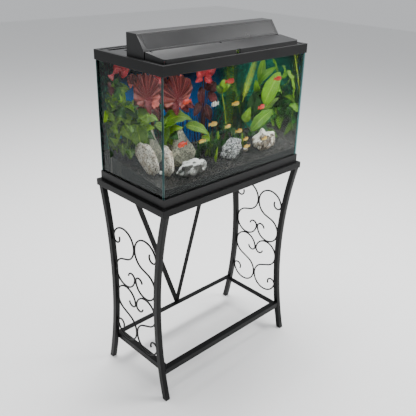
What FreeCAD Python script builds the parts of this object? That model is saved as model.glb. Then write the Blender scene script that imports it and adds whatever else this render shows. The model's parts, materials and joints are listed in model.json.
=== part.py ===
"""An aquarium with a lit hood on a bowed steel stand. Millimetres, +Z up, +X along the tank, -Y to the front,
origin on the floor under the middle of the stand."""

import FreeCAD, Part
import Sketcher
import math
import os
import re

doc = FreeCAD.newDocument("AquariumOnStand")

# ---------------------------------------------------------------- driving dimensions
SIZES = [
    ("tank_length", 616.0, "outside of the plastic rims, left to right"),
    ("tank_width", 317.5, "outside of the plastic rims, front to back"),
    ("tank_height", 412.0, "bottom rim to top rim"),
    ("glass", 5.0, "side panes"),
    ("bottom_glass", 6.0, "bottom pane"),
    ("seam", 1.0, "silicone between panes"),
    ("rim_wall", 2.5, "moulded skirt and webs of the rims"),
    ("rim_gap", 0.5, "pane to rim clearance"),
    ("top_rim_height", 30.0, "skirt of the top rim"),
    ("bottom_rim_height", 29.0, "skirt of the bottom rim"),
    ("bottom_step", 9.5, "underside of the bottom rim's web above its foot"),
    ("bottom_ledge", 14.0, "reach of the bottom rim's web"),
    ("hood_recess", 5.0, "depth of the hood's seat in the top rim"),
    ("seat_reach", 10.0, "width of the hood's seat"),
    ("film", 0.4, "background film"),
    ("stand_height", 725.0, "floor to the tank's underside"),
    ("rail_margin", 11.0, "stand frame beyond the tank, each side"),
    ("rail_flange", 22.0, "angle iron leg"),
    ("rail_wall", 2.0, "angle iron thickness"),
    ("leg_tube", 18.0, "square tube"),
    ("leg_wall", 1.5, "square tube wall"),
    ("leg_inset", 16.0, "end of the top frame to a leg's centre, along the tank"),
    ("waist_inset", 55.25, "side of the top frame to a leg's centre at the waist, front to back"),
    ("leg_radius", 1440.0, "bow of a leg's centre line"),
    ("waist_height", 345.0, "height of the waist"),
    ("lower_top", 115.0, "top of the lower frame"),
    ("lower_lap", 8.2, "middle of a leg to the lower frame's outside, front to back"),
    ("plug_flange", 3.0, "foot plug under the tube"),
    ("plug_depth", 14.0, "foot plug inside the tube"),
    ("plug_gap", 0.1, "foot plug clearance in the tube"),
    ("brace_width", 20.0, "flat strap"),
    ("brace_thick", 3.0, "flat strap"),
    ("brace_spread", 209.4, "middle of the stand to a brace's upper end, along the tank"),
    ("scroll_rod", 5.0, "round rod"),
    ("scroll_centre", 358.0, "height of the scrolls' middle"),
    ("scroll_reach", 219.0, "middle of the scrolls to their ends"),
    ("curl_radius", 17.0, "small curls at a scroll's ends"),
    ("gravel_gap", 0.5, "gravel to glass"),
    ("gravel_front", 39.0, "gravel depth at the front pane"),
    ("gravel_back", 79.0, "gravel depth at the back pane"),
    ("hood_gap", 0.5, "hood base to the rim's lip"),
    ("hood_plate", 3.0, "hood base plate"),
    ("hood_wall", 2.5, "hood shells"),
    ("upper_start", 5.5, "left end of the hood base to the light housing and lid"),
    ("upper_end", 21.5, "right end of the hood base to the light housing and lid"),
    ("housing_front", -60.5, "front wall of the light housing"),
    ("housing_ridge", -28.0, "front edge of its flat top"),
    ("housing_back", 18.0, "back wall of the light housing"),
    ("housing_height", 64.0, "its top above the rim"),
    ("shoulder_height", 21.0, "foot of its slope above the rim"),
    ("cover_margin", 14.0, "lamp cover to the ends of the slope"),
    ("cover_edge", 5.0, "lamp cover to the top and foot of the slope"),
    ("cover_gap", 0.4, "lamp cover in its recess"),
    ("cover_lip", 6.0, "recess floor around the window"),
    ("cover_sink", 1.2, "depth of the recess"),
    ("lid_front", 1.2, "lid's front edge behind the base's front edge"),
    ("lid_front_height", 12.0, "lid's front above the rim"),
    ("lid_gap", 0.8, "lid's skirt above the base plate"),
    ("lid_corner", 10.0, "rounding of the lid's front corners"),
    ("notch_width", 34.0, "finger notch in the lid's front, as the diameter it is cut with"),
    ("notch_depth", 3.0, "finger notch, front to back"),
    ("hinge_rod", 3.0, "hinge rod diameter"),
    ("hinge_set", 8.0, "hinge axis ahead of the housing"),
    ("hinge_clear", 0.05, "running clearance on the rod"),
    ("knuckle", 7.0, "lid knuckle diameter"),
    ("ear", 6.0, "hinge ear"),
    ("feed_margin", 22.0, "feeding mouth to the ends of the lid"),
    ("lamp_length", 438.0, "lamp without its pins"),
    ("lamp_tube", 26.0, "lamp diameter"),
    ("lens", 2.0, "clear lamp shield"),
    ("slot_reach", 31.0, "back edge of the hood base to the front of its rear slots"),
    ("gland_bore", 7.0, "cord inlet bore"),
    ("gland_body", 14.0, "cord inlet body"),
]
sheet = doc.addObject("Spreadsheet::Sheet", "Sizes")
for row, (alias, number, note) in enumerate(SIZES, start=1):
    sheet.set("A%d" % row, note)
    sheet.set("B%d" % row, str(number))
    sheet.setAlias("B%d" % row, alias)
doc.recompute()
SIZE = {alias: float(sheet.get(alias)) for alias, _, _ in SIZES}
PIECES = []

# sizes that follow from the driving dimensions, by the name that formulas use
FOLLOWING = {
    "leg_spread": "tank_length / 2 + rail_margin - leg_inset",
    "leg_waist": "tank_width / 2 + rail_margin - waist_inset",
    "lower_reach": "leg_waist + leg_radius + lower_lap"
                   " - sqrt(leg_radius ^ 2 - (waist_height - lower_top + rail_flange / 2) ^ 2)",
    "base_length": "tank_length - 2 * (2 * rim_wall + 2 * rim_gap + glass + hood_gap)",
    "base_width": "tank_width - 2 * (2 * rim_wall + 2 * rim_gap + glass + hood_gap)",
    "upper_length": "base_length - upper_start - upper_end",
    "upper_offset": "(upper_start - upper_end) / 2",
}


# ---------------------------------------------------------------- helpers
def sized(text):
    """The same formula with each named size read from the sheet or worked out from it."""
    def spell(word):
        name = word.group()
        if name in FOLLOWING:
            return f"({sized(FOLLOWING[name])})"
        return "Sizes." + name if name in SIZE else name
    return re.sub(r"[a-z][a-z_]*", spell, text)


def measure(formula):
    """The number that a formula comes to, for the shapes that are worked out point by point."""
    rule = doc.addObject("App::FeaturePython", "Rule")
    rule.addProperty("App::PropertyFloat", "Result")
    rule.setExpression("Result", sized(formula))
    rule.recompute()
    result = rule.Result
    doc.removeObject(rule.Name)
    return result


def bind(thing, **formulas):
    for prop, formula in formulas.items():
        thing.setExpression(prop.replace("__", "."), sized(formula))
    return thing


def place(thing, across, along, up):
    return bind(thing, Placement__Base__x=across, Placement__Base__y=along, Placement__Base__z=up)


def piece(thing, label):
    """Marks an object as one finished sub-part."""
    thing.Label = label
    PIECES.append(thing)
    return thing


def box(name, length, width, height, across, along, up):
    block = doc.addObject("Part::Box", name)
    bind(block, Length=length, Width=width, Height=height)
    return place(block, across, along, up)


def centred_box(name, length, width, height, up, across="0"):
    return box(name, length, width, height, f"{across} - ({length}) / 2", f"-({width}) / 2", up)


def cylinder(name, diameter, length, across, along, up, turn=None):
    """A cylinder along +Z, or turned to lie along +X or +Y."""
    rod = doc.addObject("Part::Cylinder", name)
    bind(rod, Radius=f"({diameter}) / 2", Height=length)
    if turn == "X":
        rod.Placement.Rotation = FreeCAD.Rotation(FreeCAD.Vector(0, 1, 0), 90)
    if turn == "Y":
        rod.Placement.Rotation = FreeCAD.Rotation(FreeCAD.Vector(1, 0, 0), -90)
    return place(rod, across, along, up)


def ellipsoid(name, across, along, up, length, width, height, turn=0.0):
    egg = doc.addObject("Part::Ellipsoid", name)
    bind(egg, Radius2=f"{length} / 2", Radius3=f"{width} / 2", Radius1=f"{height} / 2")
    egg.Placement.Rotation = FreeCAD.Rotation(FreeCAD.Vector(0, 0, 1), turn)
    return place(egg, str(across), str(along), str(up))


def cut(name, base, *tools):
    """The base with each tool taken away."""
    result = base
    for number, tool in enumerate(tools):
        step = doc.addObject("Part::Cut", f"{name}_cut_{number}")
        step.Base = result
        step.Tool = tool
        result = step
    return result


def fuse(name, *parts):
    result = doc.addObject("Part::MultiFuse", name + "_fuse")
    result.Shapes = list(parts)
    result.Refine = True
    return result


def common(name, first, second):
    result = doc.addObject("Part::MultiCommon", name + "_common")
    result.Shapes = [first, second]
    return result


def group(name, parts):
    result = doc.addObject("Part::Compound", name + "_group")
    result.Links = list(parts)
    return result


def sketch(body, name, role, corners):
    """A closed outline on one of the body's origin planes, each corner tied to the sheet."""
    outline = body.newObject("Sketcher::SketchObject", name)
    plane = [feature for feature in body.Origin.OriginFeatures if feature.Role == role][0]
    outline.AttachmentSupport = [(plane, "")]
    outline.MapMode = "FlatFace"
    count = len(corners)
    for number in range(count):
        ends = [2 * math.pi * step / count for step in (number, number + 1)]
        first, last = [FreeCAD.Vector(-9 * math.cos(end), -9 * math.sin(end), 0) for end in ends]
        outline.addGeometry(Part.LineSegment(first, last), False)
    for number in range(count):
        outline.addConstraint(Sketcher.Constraint("Coincident", number, 2, (number + 1) % count, 1))
    for number, corner in enumerate(corners):
        for kind, formula in zip(("DistanceX", "DistanceY"), corner):
            index = outline.addConstraint(Sketcher.Constraint(kind, -1, 1, number, 1, 1.0))
            outline.renameConstraint(index, f"{kind}{number}")
            outline.setExpression(f"Constraints.{kind}{number}", sized(formula))
    return outline


def pad(body, name, outline, length, symmetric=False):
    feature = body.newObject("PartDesign::Pad", name)
    feature.Profile = outline
    feature.SideType = "Symmetric" if symmetric else "One side"
    return bind(feature, Length=length)


def pocket(body, name, outline, length, symmetric=False):
    """A pocket that runs the way a pad would; it must take material away."""
    doc.recompute()
    before = body.Shape.Volume
    feature = body.newObject("PartDesign::Pocket", name)
    feature.Profile = outline
    feature.SideType = "Symmetric" if symmetric else "One side"
    feature.Reversed = not symmetric
    bind(feature, Length=length)
    doc.recompute()
    if not body.Shape.Volume < before:
        raise RuntimeError(f"{body.Label}: {name} cuts nothing")
    return feature


# ---------------------------------------------------------------- stand: mitred angle-iron frames
def angle_rail(label, half_length, half_width, top, turn):
    """One side of a mitred frame: flat flange on top, upright flange outside. Drawn as the front one."""
    body = doc.addObject("PartDesign::Body", label)
    outer = sketch(body, label + "_outline", "XY_Plane", [
        (f"-({half_length})", f"-({half_width})"),
        (half_length, f"-({half_width})"),
        (f"{half_length} - rail_flange", f"-({half_width}) + rail_flange"),
        (f"-({half_length}) + rail_flange", f"-({half_width}) + rail_flange"),
    ])
    pad(body, label + "_bar", outer, "rail_flange")
    inner = sketch(body, label + "_hollow", "XY_Plane", [
        (f"-({half_length}) + rail_wall", f"-({half_width}) + rail_wall"),
        (f"{half_length} - rail_wall", f"-({half_width}) + rail_wall"),
        (f"{half_length} - rail_flange", f"-({half_width}) + rail_flange"),
        (f"-({half_length}) + rail_flange", f"-({half_width}) + rail_flange"),
    ])
    pocket(body, label + "_inside", inner, "rail_flange - rail_wall")
    body.Placement.Rotation = FreeCAD.Rotation(FreeCAD.Vector(0, 0, 1), turn)
    bind(body, Placement__Base__z=f"{top} - rail_flange")
    return piece(body, label)


TURNS = {"front": 0, "right": 90, "back": 180, "left": 270}
TOP_HALF_LENGTH = "tank_length / 2 + rail_margin"
TOP_HALF_WIDTH = "tank_width / 2 + rail_margin"
LOWER_HALF_LENGTH = "leg_spread - leg_tube / 2"
for side, turn in TURNS.items():
    top_frame = (TOP_HALF_LENGTH, TOP_HALF_WIDTH)
    lower_frame = (LOWER_HALF_LENGTH, "lower_reach")
    if side in ("left", "right"):
        top_frame = top_frame[::-1]
        lower_frame = lower_frame[::-1]
    angle_rail("top_rail_" + side, *top_frame, "stand_height", turn)
    angle_rail("lower_rail_" + side, *lower_frame, "lower_top", turn)


# ---------------------------------------------------------------- stand: bowed legs and their foot plugs
def bowed_bar(name, section, across, low, high):
    """A square bar bent to the legs' bow, in front of the stand's middle, between two heights."""
    axis = "-(leg_waist + leg_radius)"
    start = f"{across} - ({section}) / 2"
    outer = cylinder(name + "_outer", f"2 * leg_radius + {section}", section, start, axis, "waist_height", "X")
    inner = cylinder(name + "_inner", f"2 * leg_radius - ({section})", f"{section} + 2", f"{start} - 1", axis,
                     "waist_height", "X")
    reach = box(name + "_reach", f"{section} + 2", TOP_HALF_WIDTH + " - rail_wall", f"{high} - ({low})",
                f"{start} - 1", f"-({TOP_HALF_WIDTH}) + rail_wall", low)
    return common(name, cut(name, outer, inner), reach)


UNDER_TOP = "stand_height - rail_wall"
BORE = "leg_tube - 2 * leg_wall"
PLUG = "leg_tube - 2 * leg_wall - 2 * plug_gap"
plugs = []
for end, across in (("left", "-leg_spread"), ("right", "leg_spread")):
    for side in ("front", "back"):
        # a back leg is a front leg of the other end, turned half round
        drawn = across if side == "front" else {"left": "leg_spread", "right": "-leg_spread"}[end]
        name = f"leg_{side}_{end}"
        bar = bowed_bar(name, "leg_tube", drawn, "plug_flange", UNDER_TOP)
        hollow = bowed_bar(name + "_bore", BORE, drawn, "0", "stand_height + 1")
        leg = cut(name, bar, hollow)
        flange = bowed_bar(name + "_flange", "leg_tube", drawn, "0", "plug_flange")
        plug = bowed_bar(name + "_plug", PLUG, drawn, "0", "plug_flange + plug_depth")
        foot = fuse(name + "_foot", flange, plug)
        if side == "back":
            for part in (leg, foot):
                part.Placement.Rotation = FreeCAD.Rotation(FreeCAD.Vector(0, 0, 1), 180)
        piece(leg, name)
        plugs.append(foot)
piece(group("foot_plugs", plugs), "foot_plugs")


# ---------------------------------------------------------------- stand: V brace at the back
def brace(label, hand):
    """A flat strap from the middle of the lower frame to the top frame, inside both back rails."""
    low = FreeCAD.Vector(0, measure("lower_reach - rail_wall - brace_thick / 2"), SIZE["lower_top"])
    back = SIZE["tank_width"] / 2 + SIZE["rail_margin"] - SIZE["rail_wall"] - SIZE["brace_thick"] / 2
    high = FreeCAD.Vector(hand * SIZE["brace_spread"], back - 0.2, SIZE["stand_height"] - SIZE["rail_wall"])
    along = (high - low).normalize()
    face = FreeCAD.Vector(0, 1, 0) - along * along.y
    turn = FreeCAD.Rotation(along, face.normalize(), FreeCAD.Vector(0, 0, 1), "XYZ")
    strap = doc.addObject("Part::Box", label + "_strap")
    overrun = 2 * SIZE["brace_width"]
    strap.Length = (high - low).Length + 2 * overrun
    bind(strap, Height="brace_width", Width="brace_thick")
    corner = FreeCAD.Vector(-overrun, -SIZE["brace_thick"] / 2, -SIZE["brace_width"] / 2)
    strap.Placement = FreeCAD.Placement(low + turn.multVec(corner), turn)
    side = "0" if hand > 0 else "-tank_length"
    room = box(label + "_room", "tank_length", "tank_width", "stand_height - rail_wall - lower_top", side, "0",
               "lower_top")
    return piece(common(label, strap, room), label)


brace("brace_left", -1)
brace("brace_right", 1)


# ---------------------------------------------------------------- stand: bent-rod scrolls
def on_circle(centre, radius, degrees):
    turn = math.radians(degrees)
    return (centre[0] + radius * math.cos(turn), centre[1] + radius * math.sin(turn))


def loop_radius(offset, grows):
    """Radius of a loop's centre line that touches the stand's middle plane and the leg's bowed inner face.
    The loop's centre is its radius plus half a rod out from the middle plane, and stands at the given height
    above the leg's waist plus grows times its radius. It bites 0.1 mm into both, as a weld would."""
    rod = SIZE["scroll_rod"] / 2
    bite = 0.1
    reach = measure("leg_waist + leg_radius") - rod + bite
    face = SIZE["leg_radius"] + SIZE["leg_tube"] / 2 + rod - bite
    half = reach + face - grows * offset
    return half - math.sqrt(half ** 2 - reach ** 2 - offset ** 2 + face ** 2)


def scroll_route(hand, rise):
    """Centre line of one scroll, as arcs and a straight: curl, middle loop, straight, end loop, curl.
    It is drawn for the lower front quarter, outward and down from the middle, then mirrored by hand
    and rise."""
    rod = SIZE["scroll_rod"] / 2 - 0.1
    curl = SIZE["curl_radius"]
    middle_up = SIZE["scroll_centre"] - SIZE["waist_height"]
    loop = loop_radius(middle_up - rise * rod, -rise)
    end_loop = loop_radius(middle_up - rise * SIZE["scroll_reach"], rise)
    middle = (rod + loop, -rod - loop)
    end = (rod + end_loop, -SIZE["scroll_reach"] + end_loop)
    first_curl = on_circle(middle, loop - curl, 171)
    last_curl = on_circle(end, end_loop - curl, -14)
    gap = math.dist(middle, end)
    bearing = math.degrees(math.atan2(end[1] - middle[1], end[0] - middle[0]))
    leave = bearing + math.degrees(math.acos((loop + end_loop) / gap))
    arcs = [
        (first_curl, curl, -10, -189),
        (middle, loop, 171, leave),
        (end, end_loop, leave + 180, 346),
        (last_curl, curl, -14, 208),
    ]
    edges = []
    across = measure("leg_spread") * (-1 if hand[0] == "left" else 1)
    mirror = -1 if hand[1] == "front" else 1

    def lift(point):
        return FreeCAD.Vector(across, mirror * point[0], SIZE["scroll_centre"] + rise * point[1])

    ends = []
    for centre, radius, start, stop in arcs:
        three = [lift(on_circle(centre, radius, angle)) for angle in (start, (start + stop) / 2, stop)]
        edges.append(Part.Arc(*three).toShape())
        ends.append((three[0], three[2]))
    edges.insert(2, Part.LineSegment(ends[1][1], ends[2][0]).toShape())
    heading = on_circle((0, 0), 1, -10 - 90)
    tangent = FreeCAD.Vector(0, mirror * heading[0], rise * heading[1])
    return Part.Wire(edges), ends[0][0], tangent


def scroll(end, side, level):
    """A round rod swept along its bent centre line."""
    route, start, tangent = scroll_route((end, side), 1 if level == "lower" else -1)
    section = Part.Wire([Part.Circle(start, tangent, SIZE["scroll_rod"] / 2).toShape()])
    rod = doc.addObject("Part::Feature", f"scroll_{end}_{side}_{level}")
    rod.Shape = route.makePipeShell([section], True, False)
    expected = math.pi * (SIZE["scroll_rod"] / 2) ** 2 * route.Length
    if abs(rod.Shape.Volume / expected - 1) > 0.01:
        raise RuntimeError(rod.Name + " is not a full rod")
    return piece(rod, rod.Name)


for end in ("left", "right"):
    for side in ("front", "back"):
        for level in ("lower", "upper"):
            scroll(end, side, level)

# ---------------------------------------------------------------- tank: bottom rim, panes and silicone
IN_RIM = "tank_length - 2 * rim_wall"
IN_RIM_WIDE = "tank_width - 2 * rim_wall"
PANE_LENGTH = "tank_length - 2 * rim_wall - 2 * rim_gap"
PANE_WIDTH = "tank_width - 2 * rim_wall - 2 * rim_gap"
BOTTOM = "stand_height + bottom_step + rim_wall"
FLOOR = BOTTOM + " + bottom_glass"
TOP = "stand_height + tank_height"
PANE_BASE = FLOOR + " + seam"
PANE_HEIGHT = "tank_height - rim_wall - rim_gap - bottom_step - rim_wall - bottom_glass - seam"

bottom_rim = cut(
    "bottom_rim",
    centred_box("bottom_rim_block", "tank_length", "tank_width", "bottom_rim_height", "stand_height"),
    centred_box("bottom_rim_seat", IN_RIM, IN_RIM_WIDE, "bottom_rim_height", BOTTOM),
    centred_box("bottom_rim_under", IN_RIM, IN_RIM_WIDE, "bottom_step + 1", "stand_height - 1"),
    centred_box("bottom_rim_hole", "tank_length - 2 * bottom_ledge", "tank_width - 2 * bottom_ledge",
                "bottom_rim_height", "stand_height"),
)
piece(bottom_rim, "bottom_rim")
piece(centred_box("bottom_pane", PANE_LENGTH, PANE_WIDTH, "bottom_glass", BOTTOM), "bottom_pane")

SIDE_WIDTH = f"{PANE_WIDTH} - 2 * glass - 2 * seam"
for side, sign in (("front", "-"), ("back", "")):
    along = f"-({PANE_WIDTH}) / 2" if side == "front" else f"({PANE_WIDTH}) / 2 - glass"
    pane = box(side + "_pane", PANE_LENGTH, "glass", PANE_HEIGHT, f"-({PANE_LENGTH}) / 2", along, PANE_BASE)
    piece(pane, side + "_pane")
seams = []
for end in ("left", "right"):
    across = f"-({PANE_LENGTH}) / 2" if end == "left" else f"({PANE_LENGTH}) / 2 - glass"
    pane = box(end + "_pane", "glass", SIDE_WIDTH, PANE_HEIGHT, across, f"-({SIDE_WIDTH}) / 2", PANE_BASE)
    piece(pane, end + "_pane")
    for side, along in (("front", f"-({SIDE_WIDTH}) / 2 - seam"), ("back", f"({SIDE_WIDTH}) / 2")):
        seams.append(box(f"seam_{end}_{side}", "glass", "seam", PANE_HEIGHT, across, along, PANE_BASE))
    seams.append(box(f"seam_{end}_foot", "glass", f"{PANE_WIDTH} - 2 * glass", "seam", across,
                     f"-({PANE_WIDTH}) / 2 + glass", FLOOR))
for side in ("front", "back"):
    along = f"-({PANE_WIDTH}) / 2" if side == "front" else f"({PANE_WIDTH}) / 2 - glass"
    seams.append(box(f"seam_{side}_foot", PANE_LENGTH, "glass", "seam", f"-({PANE_LENGTH}) / 2", along, FLOOR))
piece(group("silicone_seams", seams), "silicone_seams")

film = box("background_sheet", "tank_length - 2 * rim_wall - 4", "film",
           "tank_height - top_rim_height - bottom_rim_height - 2", "-tank_length / 2 + rim_wall + 2",
           f"({PANE_WIDTH}) / 2", "stand_height + bottom_rim_height + 1")
piece(film, "background_sheet")

# ---------------------------------------------------------------- tank: top rim with the hood's seat
SLOT = "rim_wall + 2 * rim_gap + glass"
LIP = "2 * rim_wall + 2 * rim_gap + glass"


def inset(dimension, reach):
    return f"{dimension} - 2 * ({reach})"


def rim_block(name, reach, height, up):
    return centred_box(name, inset("tank_length", reach), inset("tank_width", reach), height, up)


glass_slot = cut(
    "glass_slot",
    rim_block("glass_slot_outer", "rim_wall", "top_rim_height - rim_wall", TOP + " - top_rim_height"),
    rim_block("glass_slot_inner", SLOT, "top_rim_height", TOP + " - top_rim_height"),
)
seat_depth = "hood_recess + rim_wall"
top_rim = cut(
    "top_rim",
    rim_block("top_rim_block", "0", "top_rim_height", TOP + " - top_rim_height"),
    glass_slot,
    rim_block("top_rim_under", SLOT, f"top_rim_height - ({seat_depth}) + 1", TOP + " - top_rim_height - 1"),
    rim_block("top_rim_seat", LIP, "hood_recess + 1", TOP + " - hood_recess"),
    rim_block("top_rim_mouth", f"{LIP} + seat_reach", "top_rim_height + 2", TOP + " - top_rim_height - 1"),
)
piece(top_rim, "top_rim")

# ---------------------------------------------------------------- contents: gravel, rocks, plants, fish
IN_WIDTH = "tank_width / 2 - rim_wall - rim_gap - glass - gravel_gap"
gravel = doc.addObject("PartDesign::Body", "gravel_bed")
heap = sketch(gravel, "gravel_section", "YZ_Plane", [
    (f"-({IN_WIDTH})", "0"),
    (IN_WIDTH, "0"),
    (IN_WIDTH, "gravel_back"),
    (f"-({IN_WIDTH})", "gravel_front"),
])
pad(gravel, "gravel_heap", heap, "tank_length - 2 * (rim_wall + rim_gap + glass + gravel_gap)", symmetric=True)
bind(gravel, Placement__Base__z=FLOOR)
piece(gravel, "gravel_bed")
GRAVEL_FLOOR = (SIZE["stand_height"] + SIZE["bottom_step"] + SIZE["rim_wall"] + SIZE["bottom_glass"])


HALF_FLOOR = measure(IN_WIDTH)
# the contents are laid out for a 599 by 300.5 mm floor under a 412 mm tank, and spread to fit another
LONG = measure("tank_length - 2 * (rim_wall + rim_gap + glass + gravel_gap)") / 599
WIDE = HALF_FLOOR / 150.25
TALL = SIZE["tank_height"] / 412


def gravel_top(along):
    """Height of the gravel's surface at this distance behind the middle."""
    share = (along + HALF_FLOOR) / (2 * HALF_FLOOR)
    return GRAVEL_FLOOR + SIZE["gravel_front"] + share * (SIZE["gravel_back"] - SIZE["gravel_front"])


def spread_ellipsoid(name, across, along, centre, length, width, height, turn=0.0):
    """An ellipsoid of the layout, at its height, stretched with the tank."""
    return ellipsoid(name, across * LONG, along * WIDE, centre,
                     length * LONG, width * WIDE, height * TALL, turn)


# centre across and along, height above the gravel, length, width, height
ROCKS = {
    "grey_slab_rock": (-150, 4, 40, 112, 44, 146),
    "beige_upright_rock": (-232, -30, 34, 46, 108, 100),
    "flat_rock": (-163, -103, 12, 112, 54, 70),
    "round_rock": (30, -60, 22, 98, 70, 80),
    "two_lobed_rock": (177, -78, 30, 120, 66, 88),
}
for name, (across, along, up, length, width, height) in ROCKS.items():
    centre = gravel_top(along * WIDE) + up * TALL
    stone = spread_ellipsoid(name + "_stone", across, along, centre, length, width, height)
    piece(cut(name, stone, gravel), name)

# stem across and along, crown across, along, height above the tank's floor, length, width, height
PLANTS = {
    "red_lotus_plant": ((-150, 42), (-147, 34, 276, 118, 58, 118)),
    "broadleaf_plant": ((-226, 66), (-222, 62, 160, 116, 74, 108)),
    "left_rear_plant": ((-240, 126), (-242, 124, 196, 104, 42, 228)),
    "red_rear_plant": ((-4, 104), (0, 100, 267, 110, 70, 118)),
    "fern_plant": ((146, 100), (150, 96, 232, 108, 78, 218)),
    "sword_plant": ((202, 8), (205, 5, 182, 148, 78, 198)),
    "arching_sword_plant": ((250, 104), (252, 100, 216, 72, 78, 198)),
}
for name, ((foot, depth), (across, along, up, length, width, height)) in PLANTS.items():
    centre = GRAVEL_FLOOR + up * TALL
    root = gravel_top(depth * WIDE) - 20
    stem = cylinder(name + "_stem", "10", str(centre - root), str(foot * LONG), str(depth * WIDE), str(root))
    crown = spread_ellipsoid(name + "_crown", across, along, centre, length, width, height)
    piece(cut(name, fuse(name, stem, crown), gravel), name)

# across, along, height above the tank's floor, length, heading
FISH = [
    (-185, -100, 273, 36, 8),
    (-1, -80, 304, 36, -12),
    (-207, -110, 151, 40, 6),
    (225, -80, 282, 34, -20),
    (152, -80, 198, 38, 10),
    (-48, -60, 238, 36, 10),
    (35, -70, 227, 32, -8),
    (-68, -80, 181, 34, -15),
    (-2, -80, 161, 30, 12),
    (43, -90, 139, 30, -10),
    (-105, -70, 133, 30, 0),
    (61, -115, 112, 28, 14),
    (63, -125, 88, 28, -6),
    (148, -125, 97, 28, 8),
]
school = []
for number, (across, along, up, length, turn) in enumerate(FISH):
    height = GRAVEL_FLOOR + up * TALL
    girth, depth = 0.28 * length, 0.42 * length
    school.append(spread_ellipsoid(f"fish_{number}", across, along, height, length, girth, depth, turn))
piece(group("fish", school), "fish")

# ---------------------------------------------------------------- hood: base in the rim's seat
BASE = TOP + " - hood_recess"
DECK = BASE + " + hood_plate"
FIRST = "upper_offset - upper_length / 2"
HINGE_ALONG = "housing_front - hinge_set"
HINGE_UP = f"{TOP} + shoulder_height - hood_wall - knuckle / 2"
EARS = ("-0.47", "0", "0.47")
LID_FRONT = f"-base_width / 2 + lid_front"
FEED_LENGTH = "upper_length - 2 * feed_margin"

mouth = box("feeding_mouth", FEED_LENGTH, f"{HINGE_ALONG} - knuckle - ({LID_FRONT}) - 8", "hood_plate + 2",
            f"{FIRST} + feed_margin", f"{LID_FRONT} + 8", BASE + " - 1")
LIGHT_FRONT = "housing_front + 14"
light = box("lamp_opening", FEED_LENGTH + " - 10", f"housing_back - 14 - ({LIGHT_FRONT})", "hood_plate + 2",
            f"{FIRST} + feed_margin + 5", LIGHT_FRONT, BASE + " - 1")
SLOT_ALONG = "base_width / 2 - slot_reach"
slots = [
    box("filter_slot", "96", "17", "hood_plate + 2", "-base_length / 2 + 16", SLOT_ALONG, BASE + " - 1"),
    box("heater_slot", "52", "13", "hood_plate + 2", "-base_length / 2 + 52", SLOT_ALONG + " - 32",
        BASE + " - 1"),
    box("air_line_slot", "96", "17", "hood_plate + 2", "base_length / 2 - 112", SLOT_ALONG, BASE + " - 1"),
]
base_parts = [centred_box("hood_base_plate", "base_length", "base_width", "hood_plate", BASE)]
for number, share in enumerate(EARS):
    ear = box(f"hinge_ear_{number}", "ear", "ear", f"{HINGE_UP} + 2.2 - ({DECK}) + 1",
              f"upper_offset + {share} * upper_length - ear / 2", f"{HINGE_ALONG} - ear / 2", DECK + " - 1")
    base_parts.append(ear)
HINGE_BORE = "hinge_rod + 2 * hinge_clear"
rod_hole = cylinder("hinge_ear_bore", HINGE_BORE, "upper_length", FIRST, HINGE_ALONG, HINGE_UP, "X")
lens_screws = []
screw_holes = []
for number, (share, along) in enumerate(((-0.44, "front"), (0.44, "front"), (-0.44, "back"), (0.44, "back"))):
    across = f"upper_offset + {share} * upper_length"
    depth = "housing_front + 9" if along == "front" else "housing_back - 9"
    shank = cylinder(f"screw_shank_{number}", "3", "hood_plate + lens", across, depth, BASE)
    head = cylinder(f"screw_head_{number}", "6", "2", across, depth, DECK + " + lens")
    lens_screws.append(fuse(f"screw_{number}", shank, head))
    screw_holes.append(cylinder(f"screw_hole_{number}", "3", "hood_plate + lens + 2", across, depth,
                                BASE + " - 1"))
hood_base = cut("hood_base", fuse("hood_base", *base_parts), mouth, light, *slots, rod_hole, *screw_holes)
piece(hood_base, "hood_base")
piece(group("lens_screws", lens_screws), "lens_screws")
rod = cylinder("lid_hinge_rod", "hinge_rod", "0.94 * upper_length + ear",
               "upper_offset - 0.47 * upper_length - ear / 2", HINGE_ALONG, HINGE_UP, "X")
piece(rod, "lid_hinge_rod")

# ---------------------------------------------------------------- hood: light housing with its lamp cover
SHELL_FOOT = "hood_plate - hood_recess"
housing = doc.addObject("PartDesign::Body", "light_housing_shell")
outline = sketch(housing, "housing_outline", "YZ_Plane", [
    ("housing_front", SHELL_FOOT),
    ("housing_front", "shoulder_height"),
    ("housing_ridge", "housing_height"),
    ("housing_back", "housing_height"),
    ("housing_back", SHELL_FOOT),
])
pad(housing, "housing_block", outline, "upper_length", symmetric=True)
run = SIZE["housing_ridge"] - SIZE["housing_front"]
rise = SIZE["housing_height"] - SIZE["shoulder_height"]
slope = math.hypot(run, rise)
lean = math.degrees(math.atan2(rise, run))
# where the offset slope meets the offset front wall and top
low_join = SIZE["shoulder_height"] + SIZE["hood_wall"] * (rise - slope) / run
high_join = SIZE["housing_ridge"] + SIZE["hood_wall"] * (slope - run) / rise
hollow = sketch(housing, "housing_inside", "YZ_Plane", [
    ("housing_front + hood_wall", SHELL_FOOT),
    ("housing_front + hood_wall", str(low_join)),
    (str(high_join), "housing_height - hood_wall"),
    ("housing_back - hood_wall", "housing_height - hood_wall"),
    ("housing_back - hood_wall", SHELL_FOOT),
])
pocket(housing, "housing_hollow", hollow, "upper_length - 2 * hood_wall", symmetric=True)
place(housing, "upper_offset", "0", TOP)


def on_slope(name, margin, edge, sink, thick):
    """A flat block let into the housing's slope, its outer face this far under the surface."""
    panel = doc.addObject("Part::Box", name)
    bind(panel, Length=f"upper_length - 2 * ({margin})", Height=thick)
    reach = float(edge)
    panel.Width = slope - 2 * reach
    turn = FreeCAD.Rotation(FreeCAD.Vector(1, 0, 0), lean)
    across = measure(FIRST)
    foot = FreeCAD.Vector(across, SIZE["housing_front"], SIZE["stand_height"] + SIZE["tank_height"])
    foot.z += SIZE["shoulder_height"]
    panel.Placement = FreeCAD.Placement(foot + turn.multVec(FreeCAD.Vector(0, reach, sink)), turn)
    return bind(panel, Placement__Base__x=f"{FIRST} + {margin}")


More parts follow.
